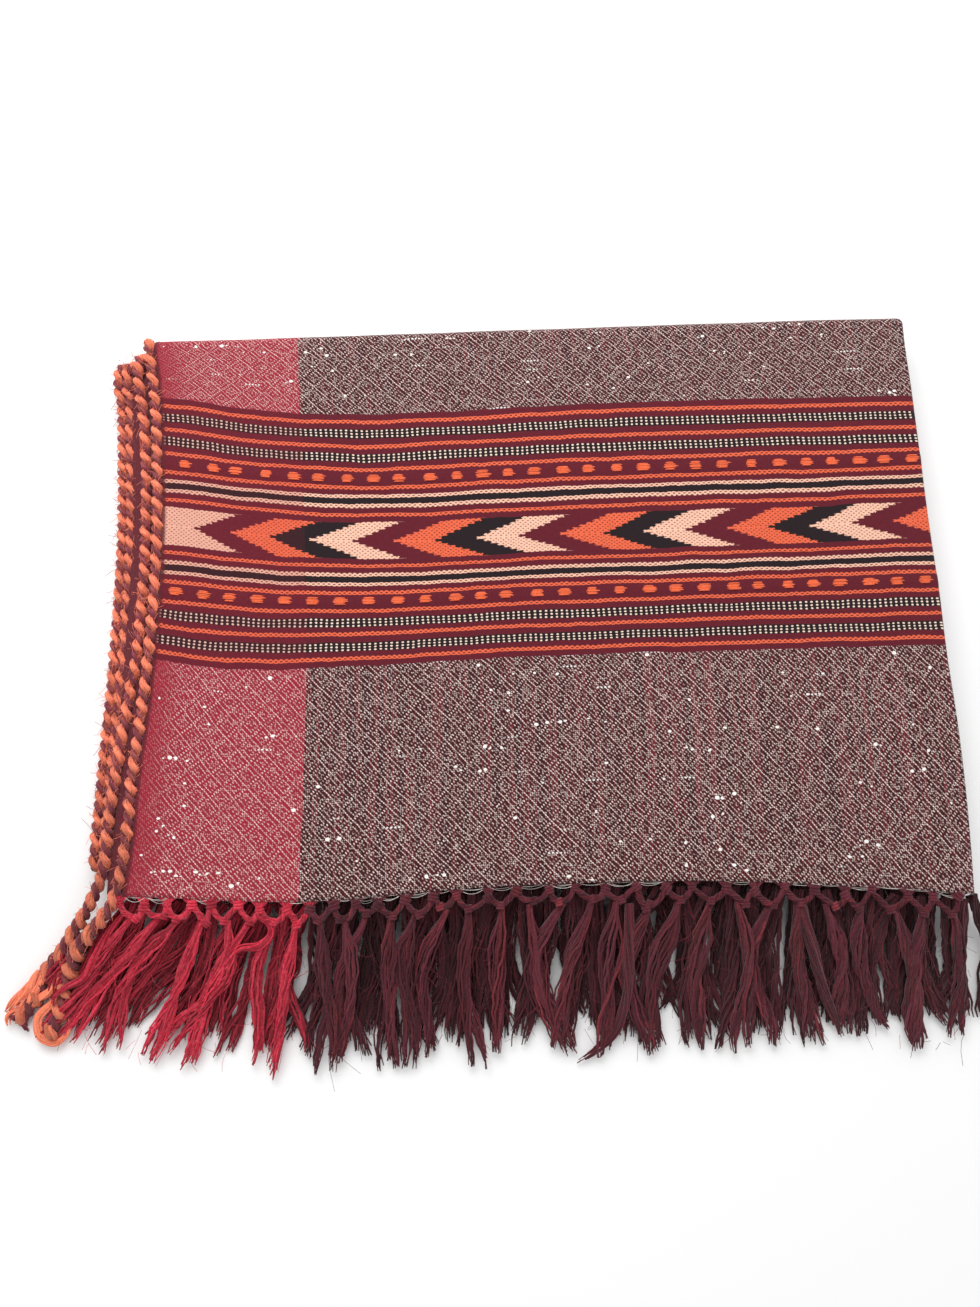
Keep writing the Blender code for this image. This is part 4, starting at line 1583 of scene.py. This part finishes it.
@dataclass
class RopeEnds(YarnPiece):
    """The ropes' ends, come untwisted into fat soft rovings."""

    name: str = "rope_ends"
    seed: int = 21
    slot: str = "rope_wool"
    rovings: Sequence[tuple[tuple[float, float, float], ...]] = (
        ((-0.2435, -0.1805, 0.008), (-0.2498, -0.1959, 0.0065), (-0.2574, -0.2061, 0.0055),
         (-0.2650, -0.2145, 0.005), (-0.2631, -0.2245, 0.0045), (-0.2536, -0.2284, 0.004),
         (-0.2467, -0.2222, 0.005), (-0.2460, -0.2132, 0.006)),
        ((-0.2429, -0.1830, 0.006), (-0.2466, -0.1988, 0.005), (-0.2511, -0.2088, 0.006),
         (-0.2573, -0.2177, 0.006), (-0.2596, -0.2268, 0.004)),
        ((-0.2440, -0.1787, 0.010), (-0.2518, -0.1883, 0.009), (-0.2582, -0.1996, 0.008),
         (-0.2667, -0.2054, 0.006), (-0.2701, -0.2111, 0.005)),
        ((-0.2433, -0.1877, 0.004), (-0.2419, -0.2046, 0.0035), (-0.2424, -0.2147, 0.003),
         (-0.2512, -0.2214, 0.003)),
        ((-0.2626, -0.1901, 0.008), (-0.2689, -0.2020, 0.007), (-0.2761, -0.2100, 0.005),
         (-0.2831, -0.2146, 0.004), (-0.2816, -0.2202, 0.0035)),
        ((-0.2644, -0.1931, 0.006), (-0.2705, -0.2067, 0.005), (-0.2735, -0.2168, 0.004),
         (-0.2695, -0.2235, 0.0035)),
        ((-0.2647, -0.1883, 0.009), (-0.2713, -0.1974, 0.008), (-0.2796, -0.2054, 0.006),
         (-0.2852, -0.2123, 0.005)),
    )
    orange: Sequence[bool] = (True, False, True, False, True, False, True)
    make: Lock = Lock(12, 0.0027, 0.00090)

    def fill(self) -> None:
        """Build the rovings."""
        for points, orange in zip(self.rovings, self.orange):
            dye = RopeDye.ORANGE if orange else RopeDye.MAROON
            self.add_lock(points, self.make, lambda: dye[:3] * (0.85 + 0.3 * self.rng.random()))


def outer_route() -> list[tuple[float, float, float]]:
    """Tail, selvedge of the top ply, and the turn over the far fold.

    Returns:
        Points of the rope's middle.
    """
    route = list(TAIL_OUTER)
    route += [(float(rope_x(y)), float(y), ROPE_HIGH) for y in np.linspace(-0.135, 0.190, 12)]
    x = float(rope_x(far_axis_y(-0.225))) - SEAM
    radius = ROPE_HIGH - FAR_AXIS_Z
    for degrees in (0, 35, 70, 105, 135):
        a = math.radians(degrees)
        reach = float(far_axis_y(x)) + radius * math.sin(a)
        route.append((x - 0.001 * a, reach, FAR_AXIS_Z + radius * math.cos(a)))
    return route


def inner_route() -> list[tuple[float, float, float]]:
    """Tail and selvedge of the second ply."""
    return list(TAIL_INNER) + list(INNER_ROUTE)


def under_route(shift: float, top_z: float) -> list[tuple[float, float, float]]:
    """A rope of the lower third: along the top, round the near fold and back on the surface.

    Args:
        shift: How far it lies from the under pair's outer rope.
        top_z: Height of its upper run.

    Returns:
        Points of the rope's middle.
    """
    ys = np.linspace(UNDER_END_Y, UNDER_TURN_Y, 11)
    xs = [float(under_x(y)) + shift + UNDER_SHIFT for y in ys]
    route = [(xs[0] + 0.0008, ys[0] + 0.0020, top_z - 0.0012)]
    route += [(x, y, top_z) for x, y in zip(xs, ys)]
    radius = (top_z - UNDER_LOW) / 2
    for degrees in (30, 60, 90, 120, 150):
        a = math.radians(degrees)
        route.append((xs[-1], ys[-1] - radius * math.sin(a), UNDER_LOW + radius + radius * math.cos(a)))
    route += [(x, y, UNDER_LOW) for x, y in zip(xs[::-1], ys[::-1])]
    return route


class FringeDye:
    """Dyes of the fringe's yarns."""

    CRIMSON = np.array(srgb(188, 44, 64))
    MAROON = np.array(srgb(88, 33, 43))
    RUSSET = np.array(srgb(106, 37, 43))
    CREAM = np.array(srgb(232, 222, 214))
    CHANGE_X = (-0.110, -0.102)
    RUSSET_SHARE = 0.14


def lock_lean(x: Array) -> Array:
    """How far a lock leans: left at the rope side, straight down further on, in radians."""
    left = -32.0 * (1.0 - smooth_step(x, -0.178, -0.100)) - 3.0 * (1.0 - smooth_step(x, -0.10, 0.0))
    return np.radians(left + 6.0 * smooth_step(x, 0.16, 0.26))


def fringe_dye(x: float, rng: np.random.Generator, shade: float = 1.0) -> Array:
    """Colour of one yarn: crimson on the red warp stripe, maroon beyond it.

    Args:
        x: The yarn's place across the shawl.
        rng: The piece's random draws.
        shade: How light the piece is; below 1 it darkens the fringe's lower layers as painted shade.

    Returns:
        The colour.
    """
    red = rng.random() > float(smooth_step(x, *FringeDye.CHANGE_X))
    base = FringeDye.CRIMSON if red else FringeDye.MAROON
    if not red and rng.random() < FringeDye.RUSSET_SHARE:
        base = FringeDye.RUSSET
    return base[:3] * shade * (0.58 + 0.80 * rng.random())


def knot_places() -> Array:
    """Places of the second knots: close in the red stripe, wider and uneven beyond it.

    Returns:
        x of each knot, from the ropes to the side fold.
    """
    x, end = float(cloth_left(NEAR_HEM_Y)) + 0.0010, float(cloth_right(NEAR_HEM_Y)) - 0.0050
    places = []
    while x < end - 0.008:
        gap = 0.0134 + 0.0040 * float(smooth_step(x, -0.10, 0.00))
        gap *= 1 + 0.13 * math.sin(2.4 * len(places))
        places.append(x + gap / 2)
        x += gap
    return np.array(places)


@dataclass
class FringeLayer(YarnPiece):
    """One layer of the fringe: tassels of fine yarns, each in two to four pointed locks."""

    node: str = "fringe_upper"
    z_root: float = STACK - 0.0020
    z_tip: float = 0.0046
    fall: float = 1.5
    at_knots: bool = False
    shift: float = 0.0
    pitch: float = KNOT_PITCH
    length: float = 0.092
    lean_sway: float = 0.075
    bend: float = 0.18
    curl: float = 0.26
    drop: float = 0.0108
    neck: float = 0.0014
    body: float = 0.0029
    spread: float = 0.0030
    thick: float = 0.00076
    yarns: int = 26
    # How light the layer is: below 1 for the layers under the front one, as painted shade.
    shade: float = 1.0
    steps: int = 17

    def centres(self) -> Array:
        """Places of the tassels across the shawl: at the knots in front, evenly behind them.

        Returns:
            x of each tassel.
        """
        if self.at_knots:
            return knot_places()
        start = float(cloth_left(NEAR_HEM_Y)) + 0.0010
        end = float(cloth_right(NEAR_HEM_Y)) - 0.0055
        count = int((end - start - self.shift) / self.pitch)
        return start + self.shift + (np.arange(count + 1) + 0.5) * self.pitch

    def spine(self, x: float) -> tuple[Array, Array]:
        """Middle line of a tassel.

        Args:
            x: The tassel's place across the shawl.

        Returns:
            Points along the line and its direction at each, as an angle from straight down.
        """
        rng = self.rng
        share = np.linspace(0, 1, self.steps)
        lean = float(lock_lean(x)) + self.lean_sway * rng.standard_normal()
        bend = self.bend * rng.standard_normal()
        curl = self.curl * rng.standard_normal()
        direction = lean + bend * share + curl * np.sin(5.2 * share + 1.2 * rng.random())
        length = self.length * (1.0 + 0.055 * float(np.clip(rng.standard_normal(), -1.6, 0.9)))
        length *= 1.0 - 0.17 * float(smooth_step(x, 0.13, 0.27))
        step = length / (self.steps - 1)
        forward = np.concatenate([[0.0], np.cumsum(np.sin(direction[1:]))]) * step
        down = np.concatenate([[0.0], np.cumsum(np.cos(direction[1:]))]) * step
        z = self.z_tip + (self.z_root - self.z_tip) * (1 - share) ** self.fall
        return np.stack([x + forward, float(hem_y(x)) - self.drop - down, z], axis=-1), direction

    def tassel(self, x: float) -> None:
        """Add one tassel.

        Args:
            x: The tassel's place across the shawl.
        """
        rng = self.rng
        share = np.linspace(0, 1, self.steps)
        middle, direction = self.spine(x)
        locks = int(rng.integers(2, 5))
        offsets = (np.arange(locks) - (locks - 1) / 2) / max(1, locks - 1) * 2
        offsets = offsets * (0.5 + 0.5 * rng.random())
        parting = 0.40 + 0.40 * rng.random()
        ends = 1.0 - 0.10 * rng.random(locks)
        full = 1.0 + 0.22 * float(smooth_step(x, -0.10, 0.00)) if self.at_knots else 1.0
        rises = 0.0012 * rng.standard_normal(locks)
        ways = 0.0016 * rng.standard_normal(locks)
        twist = 3.0 + 4.0 * rng.random()
        open_up = smooth_step(share, 0.0, 0.30)
        # The layer's shade, which is painted shade for the lower layers, with a random change for each
        # tassel.
        light = self.shade * (0.90 + 0.20 * rng.random())
        for k in range(self.yarns):
            lock = k % locks
            turn = rng.random() * 2 * math.pi + twist * share
            size = self.neck + (self.body * full - self.neck) * open_up
            size = size * (1.0 - 0.66 * smooth_step(share, 0.72, 1.0)) * (0.35 + 0.65 * rng.random())
            parted = 0.30 * open_up + smooth_step(share, parting, 1.0)
            apart = self.spread * full * offsets[lock] * parted
            apart = apart + ways[lock] * np.sin(5.5 * share) * open_up
            crimp = 0.00055 * np.sin(share * (22 + 18 * rng.random()) + 6 * rng.random())
            apart = apart + 0.0007 * rng.standard_normal() * smooth_step(share, 0.62, 1.0)
            side = size * np.cos(turn) + apart + crimp * open_up
            rise = 0.62 * size * np.sin(turn) + rises[lock] * open_up * (1 - share)
            last = ends[lock] * (1.0 - 0.13 * rng.random() ** 2)
            kept = share * last
            place = np.stack([np.interp(kept, share, middle[:, j]) for j in range(3)], axis=-1)
            angle = np.interp(kept, share, direction)
            place[:, 0] += side * np.cos(angle)
            place[:, 1] += side * np.sin(angle)
            place[:, 2] = np.maximum(place[:, 2] + rise, FLOOR_CLEAR)
            thick = self.thick * (0.75 + 0.45 * rng.random())
            radius = thick * (1 - 0.55 * smooth_step(share, 0.84, 1.0))
            self.add(place, radius, fringe_dye(x, rng, light), X_AXIS)

    def fill(self) -> None:
        """Build the layer."""
        for x in self.centres():
            self.tassel(float(x + 0.0012 * self.rng.standard_normal()))


@dataclass
class StrayLocks(YarnPiece):
    """Locks of the fringe that lie their own way: over the ropes' ends, bent, or leaning across."""

    name: str = "stray_locks"
    seed: int = 31
    node: str = "fringe_upper"
    bright: Sequence[tuple[tuple[float, float, float], ...]] = (
        ((-0.2130, -0.1530, 0.0200), (-0.2218, -0.1642, 0.0180), (-0.2300, -0.1782, 0.0170),
         (-0.2366, -0.1912, 0.0150), (-0.2471, -0.1965, 0.0130), (-0.2543, -0.2025, 0.0110),
         (-0.2557, -0.2104, 0.0080)),
        ((-0.1346, -0.1563, 0.0240), (-0.1285, -0.1600, 0.0240), (-0.1267, -0.1648, 0.0230),
         (-0.1326, -0.1722, 0.0220), (-0.1451, -0.1745, 0.0200), (-0.1596, -0.1900, 0.0150),
         (-0.1720, -0.2080, 0.0100)),
    )
    dark: Sequence[tuple[tuple[float, float, float], ...]] = (
        ((0.0812, -0.1490, 0.0236), (0.0809, -0.1720, 0.0185), (0.0793, -0.2043, 0.0100),
         (0.0730, -0.2210, 0.0060), (0.0620, -0.2320, 0.0040), (0.0493, -0.2401, 0.0025)),
        ((0.1822, -0.1495, 0.0236), (0.1880, -0.1740, 0.0175), (0.1970, -0.2040, 0.0090),
         (0.2063, -0.2262, 0.0045)),
    )
    deep: Sequence[tuple[tuple[float, float, float], ...]] = (
        ((-0.2080, -0.1480, 0.0180), (-0.2200, -0.1700, 0.0140), (-0.2320, -0.1950, 0.0080),
         (-0.2400, -0.2150, 0.0040), (-0.2440, -0.2260, 0.0025)),
        ((-0.2060, -0.1500, 0.0150), (-0.2150, -0.1720, 0.0110), (-0.2240, -0.1960, 0.0060),
         (-0.2330, -0.2180, 0.0025)),
        ((-0.2110, -0.1470, 0.0160), (-0.2260, -0.1660, 0.0130), (-0.2400, -0.1900, 0.0080),
         (-0.2480, -0.2060, 0.0040)),
        ((-0.2330, -0.1620, 0.0060), (-0.2430, -0.1740, 0.0080), (-0.2510, -0.1830, 0.0100),
         (-0.2590, -0.1900, 0.0090), (-0.2640, -0.1930, 0.0060), (-0.2690, -0.1925, 0.0040)),
        ((-0.2380, -0.1700, 0.0060), (-0.2480, -0.1840, 0.0080), (-0.2560, -0.1960, 0.0080),
         (-0.2600, -0.2060, 0.0060)),
    )

    thin: Lock = Lock(13, 0.0021, 0.00066)
    full: Lock = Lock(18, 0.0034, 0.00070)
    broad: Lock = Lock(17, 0.0046, 0.00084)

    def fill(self) -> None:
        """Build the locks."""
        # Painted shade: the deep locks, which lie under the ropes' ends, are darkened to 0.66.
        for routes, make, shade in ((self.bright, self.thin, 0.95), (self.dark, self.full, 0.95),
                                    (self.deep, self.broad, 0.66)):
            for points in routes:
                self.add_lock(points, make, lambda: fringe_dye(points[0][0], self.rng, shade))


@dataclass
class KnottedNet(YarnPiece):
    """Two rows of knots under the hem, and the warp ends that lead to them."""

    name: str = "fringe_net"
    seed: int = 8
    node: str = "fringe_upper"
    z: float = STACK - 0.0012
    pitch: float = KNOT_PITCH
    first_drop: float = 0.0040
    second_drop: float = 0.0112
    knot_radius: float = 0.0020
    legs: int = 6
    leg_radius: float = 0.00062
    leg_orbit: float = 0.00110
    ends: int = 13
    end_radius: float = 0.00050

    def knot(self, place: Array, lean: float, size: float, dye: Array) -> None:
        """Wrap a knot.

        Args:
            place: Its centre.
            lean: How far its neck leans from straight down.
            size: Radius of its turns.
            dye: Its colour.
        """
        turn = np.linspace(0, 5.4 * math.pi, 34)
        along = np.linspace(-1, 1, 34) * size
        swell = size * (1 - 0.25 * np.linspace(-1, 1, 34) ** 2)
        x = place[0] + swell * np.cos(turn) * math.cos(lean) + along * math.sin(lean)
        y = place[1] + swell * np.cos(turn) * math.sin(lean) - along * math.cos(lean)
        z = place[2] + 0.72 * swell * np.sin(turn)
        self.add(np.stack([x, y, z], axis=-1), size * 0.46, dye, np.array([0.3, 1.0, 0.2]))

    def warp_ends(self, x: float, first: Array) -> None:
        """Gather the warp ends along the hem into a first knot.

        Args:
            x: The knot's place across the shawl.
            first: The knot's centre.
        """
        rng = self.rng
        edge = float(hem_y(x))
        for off in np.linspace(-1, 1, self.ends):
            start = np.array([x + off * self.pitch * 0.50, edge + 0.0012 + 0.0008 * rng.random(),
                              self.z + 0.0004])
            mid = np.array([x + off * self.pitch * 0.24, edge - 0.0012, self.z + 0.0006])
            points = even_points([start, mid, first + (off * 0.0006, 0, 0)], 0.0012)
            self.add(points, self.end_radius, fringe_dye(x, rng, 0.95), X_AXIS)

    def legs_between(self, first: Array, second: Array) -> None:
        """Twist half of a first knot's yarns down to a second knot.

        Args:
            first: Centre of the first knot.
            second: Centre of the second knot.
        """
        rng = self.rng
        wide = abs(float(second[0] - first[0])) / self.pitch
        bow = np.array([0.0008 * rng.standard_normal(),
                        -0.0022 * wide + 0.0009 * rng.standard_normal(), 0.0006])
        points = even_points([first, (first + second) / 2 + bow, second], 0.0008)
        share = np.linspace(0, 1, len(points))
        across = np.cross(unit(second - first), Z_AXIS)
        fat = 0.85 + 0.40 * rng.random()
        for k in range(self.legs):
            turn = 2 * math.pi * k / self.legs + 7.0 * share
            size = self.leg_orbit * fat * (1 + 0.15 * rng.standard_normal())
            route = points + size * np.cos(turn)[:, None] * across
            route = route + size * np.sin(turn)[:, None] * Z_AXIS * 0.8
            self.add(route, self.leg_radius, fringe_dye(float(second[0]), rng), Z_AXIS + 0.3 * across)

    def fill(self) -> None:
        """Build the net."""
        rng = self.rng
        seconds = knot_places()
        ends = seconds[0] - self.pitch / 2, seconds[-1] + self.pitch / 2
        firsts = np.concatenate([ends[:1], (seconds[1:] + seconds[:-1]) / 2, ends[1:]])
        firsts = firsts + 0.0012 * rng.standard_normal(len(firsts))
        knots = []
        for x in firsts:
            drop = self.first_drop + 0.0010 * rng.standard_normal()
            first = np.array([x, float(hem_y(x)) - drop, self.z])
            knots.append(first)
            self.warp_ends(float(x), first)
            lean = 0.35 * rng.standard_normal()
            size = self.knot_radius * (0.9 + 0.4 * rng.random())
            self.knot(first, lean, size, fringe_dye(float(x), rng, 1.1))
        for k, x in enumerate(seconds):
            x = x + 0.0016 * rng.standard_normal()
            drop = self.second_drop + 0.0014 * rng.standard_normal()
            second = np.array([x, float(hem_y(x)) - drop, self.z - 0.0006])
            for first in (knots[k], knots[k + 1]):
                self.legs_between(first, second)
            lean = float(lock_lean(x)) + 0.2 * rng.standard_normal()
            self.knot(second, lean, self.knot_radius, fringe_dye(float(x), rng, 1.1))


@dataclass
class LooseWeft(YarnPiece):
    """The last weft yarns, which bow below the hem between the knots."""

    name: str = "loose_weft"
    seed: int = 9
    z: float = STACK - 0.0004
    yarns: int = 5
    radius: float = 0.00017

    def fill(self) -> None:
        """Build the yarns."""
        rng = self.rng
        seconds = knot_places()
        for centre, gap in zip(seconds, np.gradient(seconds)):
            for j in range(int(rng.integers(1, self.yarns + 1))):
                t = np.linspace(0, 1, 11)
                reach = gap * (0.42 + 0.06 * rng.random())
                x = centre + reach * (2 * t - 1) + 0.0008 * rng.standard_normal()
                sag = (0.0001 + 0.00064 * j) * (1 + 0.4 * rng.standard_normal()) * gap / KNOT_PITCH
                y = hem_y(x) + 0.0003 - sag * 4 * t * (1 - t) - 0.0002 * j
                z = self.z + 0.0003 * np.sin(9 * t + 6 * rng.random())
                shade = FringeDye.CREAM[:3] * (0.30 + 0.80 * rng.random())
                self.add(np.stack([x, y, z], axis=-1), self.radius, shade, Z_AXIS)


@dataclass
class InlayYarns(YarnPiece):
    """Short thick orange yarns laid into the band's two inlay rows."""

    ORANGE = np.array(srgb(236, 104, 64))
    name: str = "inlay_yarns"
    seed: int = 11
    slot: str = "woven_wool"
    pitch: float = 0.0173
    shares: tuple[float, float] = (0.257, 0.743)
    yarns: int = 5
    yarn_radius: float = 0.00062
    yarn_gap: float = 0.00098

    def fill(self) -> None:
        """Build the yarns."""
        rng = self.rng
        ply = TopPly()
        for share in self.shares:
            for centre in np.arange(-0.196, 0.276, self.pitch):
                centre = centre + 0.0008 * rng.standard_normal()
                half = 0.0041 + 0.0014 * rng.random()
                for k in range(self.yarns):
                    off = (k - (self.yarns - 1) / 2) * self.yarn_gap + 0.0001 * rng.standard_normal()
                    t = np.linspace(-1, 1, 9)
                    outer = (off / 0.0022) ** 2
                    left = half * (0.80 + 0.15 * rng.random()) * (1 - 0.3 * outer)
                    right = half * (0.70 + 0.55 * rng.random()) * (1 - 0.35 * outer)
                    x = centre + np.where(t < 0, t * left, t * right)
                    y, z = ply.band_point(x, share + off / BAND_HEIGHT)
                    z = z + CLOTH_THICK / 2 - 0.00025 + 0.00050 * (1 - t ** 4)
                    radius = self.yarn_radius * np.sqrt(np.clip(1 - 0.8 * t ** 4, 0.05, 1))
                    shade = self.ORANGE[:3] * (0.9 + 0.25 * rng.random())
                    self.add(np.stack([x, y, z], axis=-1), radius, shade, Z_AXIS)


@dataclass
class LooseFibres(YarnPiece):
    """Fine fibres that stand off the ropes and lie over the fringe."""

    name: str = "loose_fibres"
    seed: int = 41
    rope_fibres: int = 540
    fringe_fibres: int = 600
    radius: float = 0.00012
    lowest: float = 0.0006

    def fibre(self, start: Array, away: Array, length: float, dye: Array) -> None:
        """Add one curved fibre.

        Args:
            start: Where it comes out.
            away: Which way it goes.
            length: Its length.
            dye: Its colour.
        """
        t = np.linspace(0, 1, 4)
        curl = self.rng.standard_normal(3) * (0.45, 0.45, 0.16)
        route = start + length * (t[:, None] * away + (t ** 2)[:, None] * curl)
        route[:, 2] = np.maximum(route[:, 2], self.lowest)
        self.add(route, self.radius, dye, Z_AXIS + 0.1 * X_AXIS)

    def fill(self) -> None:
        """Build the fibres."""
        rng = self.rng
        routes = (outer_route(), inner_route(), under_route(UNDER_PITCH, UNDER_INNER_HIGH)[:12],
                  under_route(0.0, UNDER_OUTER_HIGH)[:12])
        for route in routes:
            middle = even_points(route, 0.002)
            for k in rng.integers(0, len(middle), self.rope_fibres):
                angle = rng.random() * math.pi
                out = np.array([math.cos(angle), 0.5 * rng.standard_normal(), math.sin(angle)])
                start = middle[k] + ROPE_RADIUS * out * (1, 0, 1)
                dye = RopeDye.ORANGE if rng.random() < 0.6 else RopeDye.MAROON
                away = 0.25 * out + np.array([0.5, 1.0, 0.1]) * rng.standard_normal(3)
                self.fibre(start, away, 0.0020 + 0.0022 * rng.random(), dye[:3])
        for _ in range(self.fringe_fibres):
            x = -0.205 + 0.480 * rng.random()
            down = 0.012 + 0.075 * rng.random()
            leaning = float(lock_lean(x))
            lean = leaning + 0.5 * rng.standard_normal()
            height = 0.0235 - 0.20 * down
            start = np.array([x + down * math.sin(leaning), float(hem_y(x)) - down, height])
            away = np.array([math.sin(lean), -math.cos(lean), -0.10 + 0.06 * rng.standard_normal()])
            self.fibre(start, away, 0.004 + 0.008 * rng.random(), fringe_dye(x, rng, 1.2))


@dataclass
class Studio:
    """Pale floor, soft light and the camera."""

    camera_height: float = 0.5909
    camera_y: float = -0.1343
    tilt: float = math.radians(12.8)
    lens: float = 27.19
    sensor: float = 36.0
    floor_half: float = 2.2
    floor_pale: tuple = (0.93, 0.93, 0.93, 1)
    floor_paler: tuple = (0.95, 0.95, 0.95, 1)
    sky_strength: float = 0.76
    window_power: float = 18.0
    window_sides: tuple[float, float] = (1.4, 0.9)
    window_place: tuple[float, float, float] = (-0.35, 1.0, 1.15)
    window_turn: tuple[float, float] = (math.radians(-42), math.radians(-18))

    def build_floor(self) -> None:
        """Lay the floor just under the shawl."""
        corners = np.array([(-1, -1, 0), (1, -1, 0), (1, 1, 0), (-1, 1, 0)]) * self.floor_half
        floor = build_object("floor", corners - SHIFT, np.array([[0, 1, 2, 3]]))
        material = bpy.data.materials.new("pale_floor")
        material.use_nodes = True
        w = Wiring(material.node_tree)
        shader = material.node_tree.nodes["Principled BSDF"]
        shader.inputs["Roughness"].default_value = 0.7
        place = w.add("TexCoord").outputs["Object"]
        pale = w.blend(w.noise(place, 3.0), self.floor_pale, self.floor_paler)
        w.feed(shader.inputs["Base Color"], pale)
        floor.data.materials.append(material)

    def build_light(self) -> None:
        """Even white surroundings and one large soft light from the far side."""
        world = bpy.data.worlds.new("studio")
        world.use_nodes = True
        sky = world.node_tree.nodes["Background"]
        sky.inputs["Color"].default_value = (1, 1, 1, 1)
        sky.inputs["Strength"].default_value = self.sky_strength
        bpy.context.scene.world = world
        light = bpy.data.lights.new("window", "AREA")
        light.shape = "RECTANGLE"
        light.size, light.size_y = self.window_sides
        light.energy = self.window_power
        lamp = bpy.data.objects.new("window", light)
        lamp.location = self.window_place
        lamp.rotation_euler = (self.window_turn[0], 0.0, self.window_turn[1])
        bpy.context.scene.collection.objects.link(lamp)

    def build_camera(self) -> None:
        """Place the camera at the photograph's angle."""
        data = bpy.data.cameras.new("camera")
        data.lens = self.lens
        data.sensor_width = self.sensor
        data.sensor_fit = "AUTO"
        data.clip_start = 0.01
        camera = bpy.data.objects.new("camera", data)
        camera.location = np.array([0.0, self.camera_y, STACK + self.camera_height]) + SHIFT
        camera.rotation_euler = (self.tilt, 0.0, 0.0)
        bpy.context.scene.collection.objects.link(camera)
        bpy.context.scene.camera = camera

    def build(self) -> None:
        """Set the stage."""
        self.build_floor()
        self.build_light()
        self.build_camera()
        bpy.context.scene.view_settings.view_transform = "Standard"


def main() -> None:
    """Build the shawl piece by piece."""
    logging.basicConfig(level=logging.INFO)
    Studio().build()
    effects = Effects()
    cloth = WovenFinish().build(effects)
    rope = YarnFinish("rope_wool", 0.45, 700.0).build(effects)
    fringe = YarnFinish("fringe_wool", 0.6, 600.0).build(effects)
    inlay = YarnFinish("inlay_wool", 0.4, 1100.0).build(effects)
    # The lower plies take a wider painted shade along their selvedges, where they lie under the ropes.
    LowerPlies().build(WovenFinish("woven_wool_under_shaded", edge=0.011).build(effects))
    SecondPly().build(cloth)
    TopPly().build(cloth)
    InlayYarns().build(inlay)
    SelvedgeRope("rope_outer", 1, node="selvedge_rope_outer", route=outer_route(),
                 loosened=True).build(rope)
    SelvedgeRope("rope_inner", 2, node="selvedge_rope_inner", route=inner_route(),
                 loosened=True).build(rope)
    under_inner = under_route(UNDER_PITCH, UNDER_INNER_HIGH)
    under_outer = under_route(0.0, UNDER_OUTER_HIGH)
    SelvedgeRope("rope_under_inner", 3, node="under_rope_inner", route=under_inner,
                 step=0.0014).build(rope)
    SelvedgeRope("rope_under_outer", 4, node="under_rope_outer", route=under_outer,
                 step=0.0014).build(rope)
    RopeEnds().build(rope)
    top, low = STACK - 0.0020, 9 * PLY
    FringeLayer("fringe_front", 5, z_root=top, at_knots=True).build(fringe)
    # Painted shade: the layers under the front one are darkened by their shade.
    FringeLayer("fringe_middle", 6, z_root=top - 0.0032, z_tip=0.0036, fall=1.8, shift=0.0045,
                length=0.093, drop=0.0032, neck=0.0032, body=0.0035, yarns=19,
                shade=0.60).build(fringe)
    FringeLayer("fringe_under", 7, node="fringe_lower", z_root=low, z_tip=0.0026, fall=2.1,
                shift=0.0090, length=0.090, drop=0.0006, neck=0.0038, body=0.0040, thick=0.0009,
                yarns=16, shade=0.50).build(fringe)
    FringeLayer("fringe_back", 12, node="fringe_lower", z_root=low - 0.0022, z_tip=0.0016, fall=2.4,
                shift=0.0022, length=0.084, drop=-0.0004, neck=0.0040, body=0.0042, thick=0.0009,
                yarns=16, shade=0.42).build(fringe)
    StrayLocks().build(fringe)
    LooseFibres().build(fringe)
    KnottedNet().build(fringe)
    LooseWeft().build(fringe)


if __name__ == "__main__":
    main()
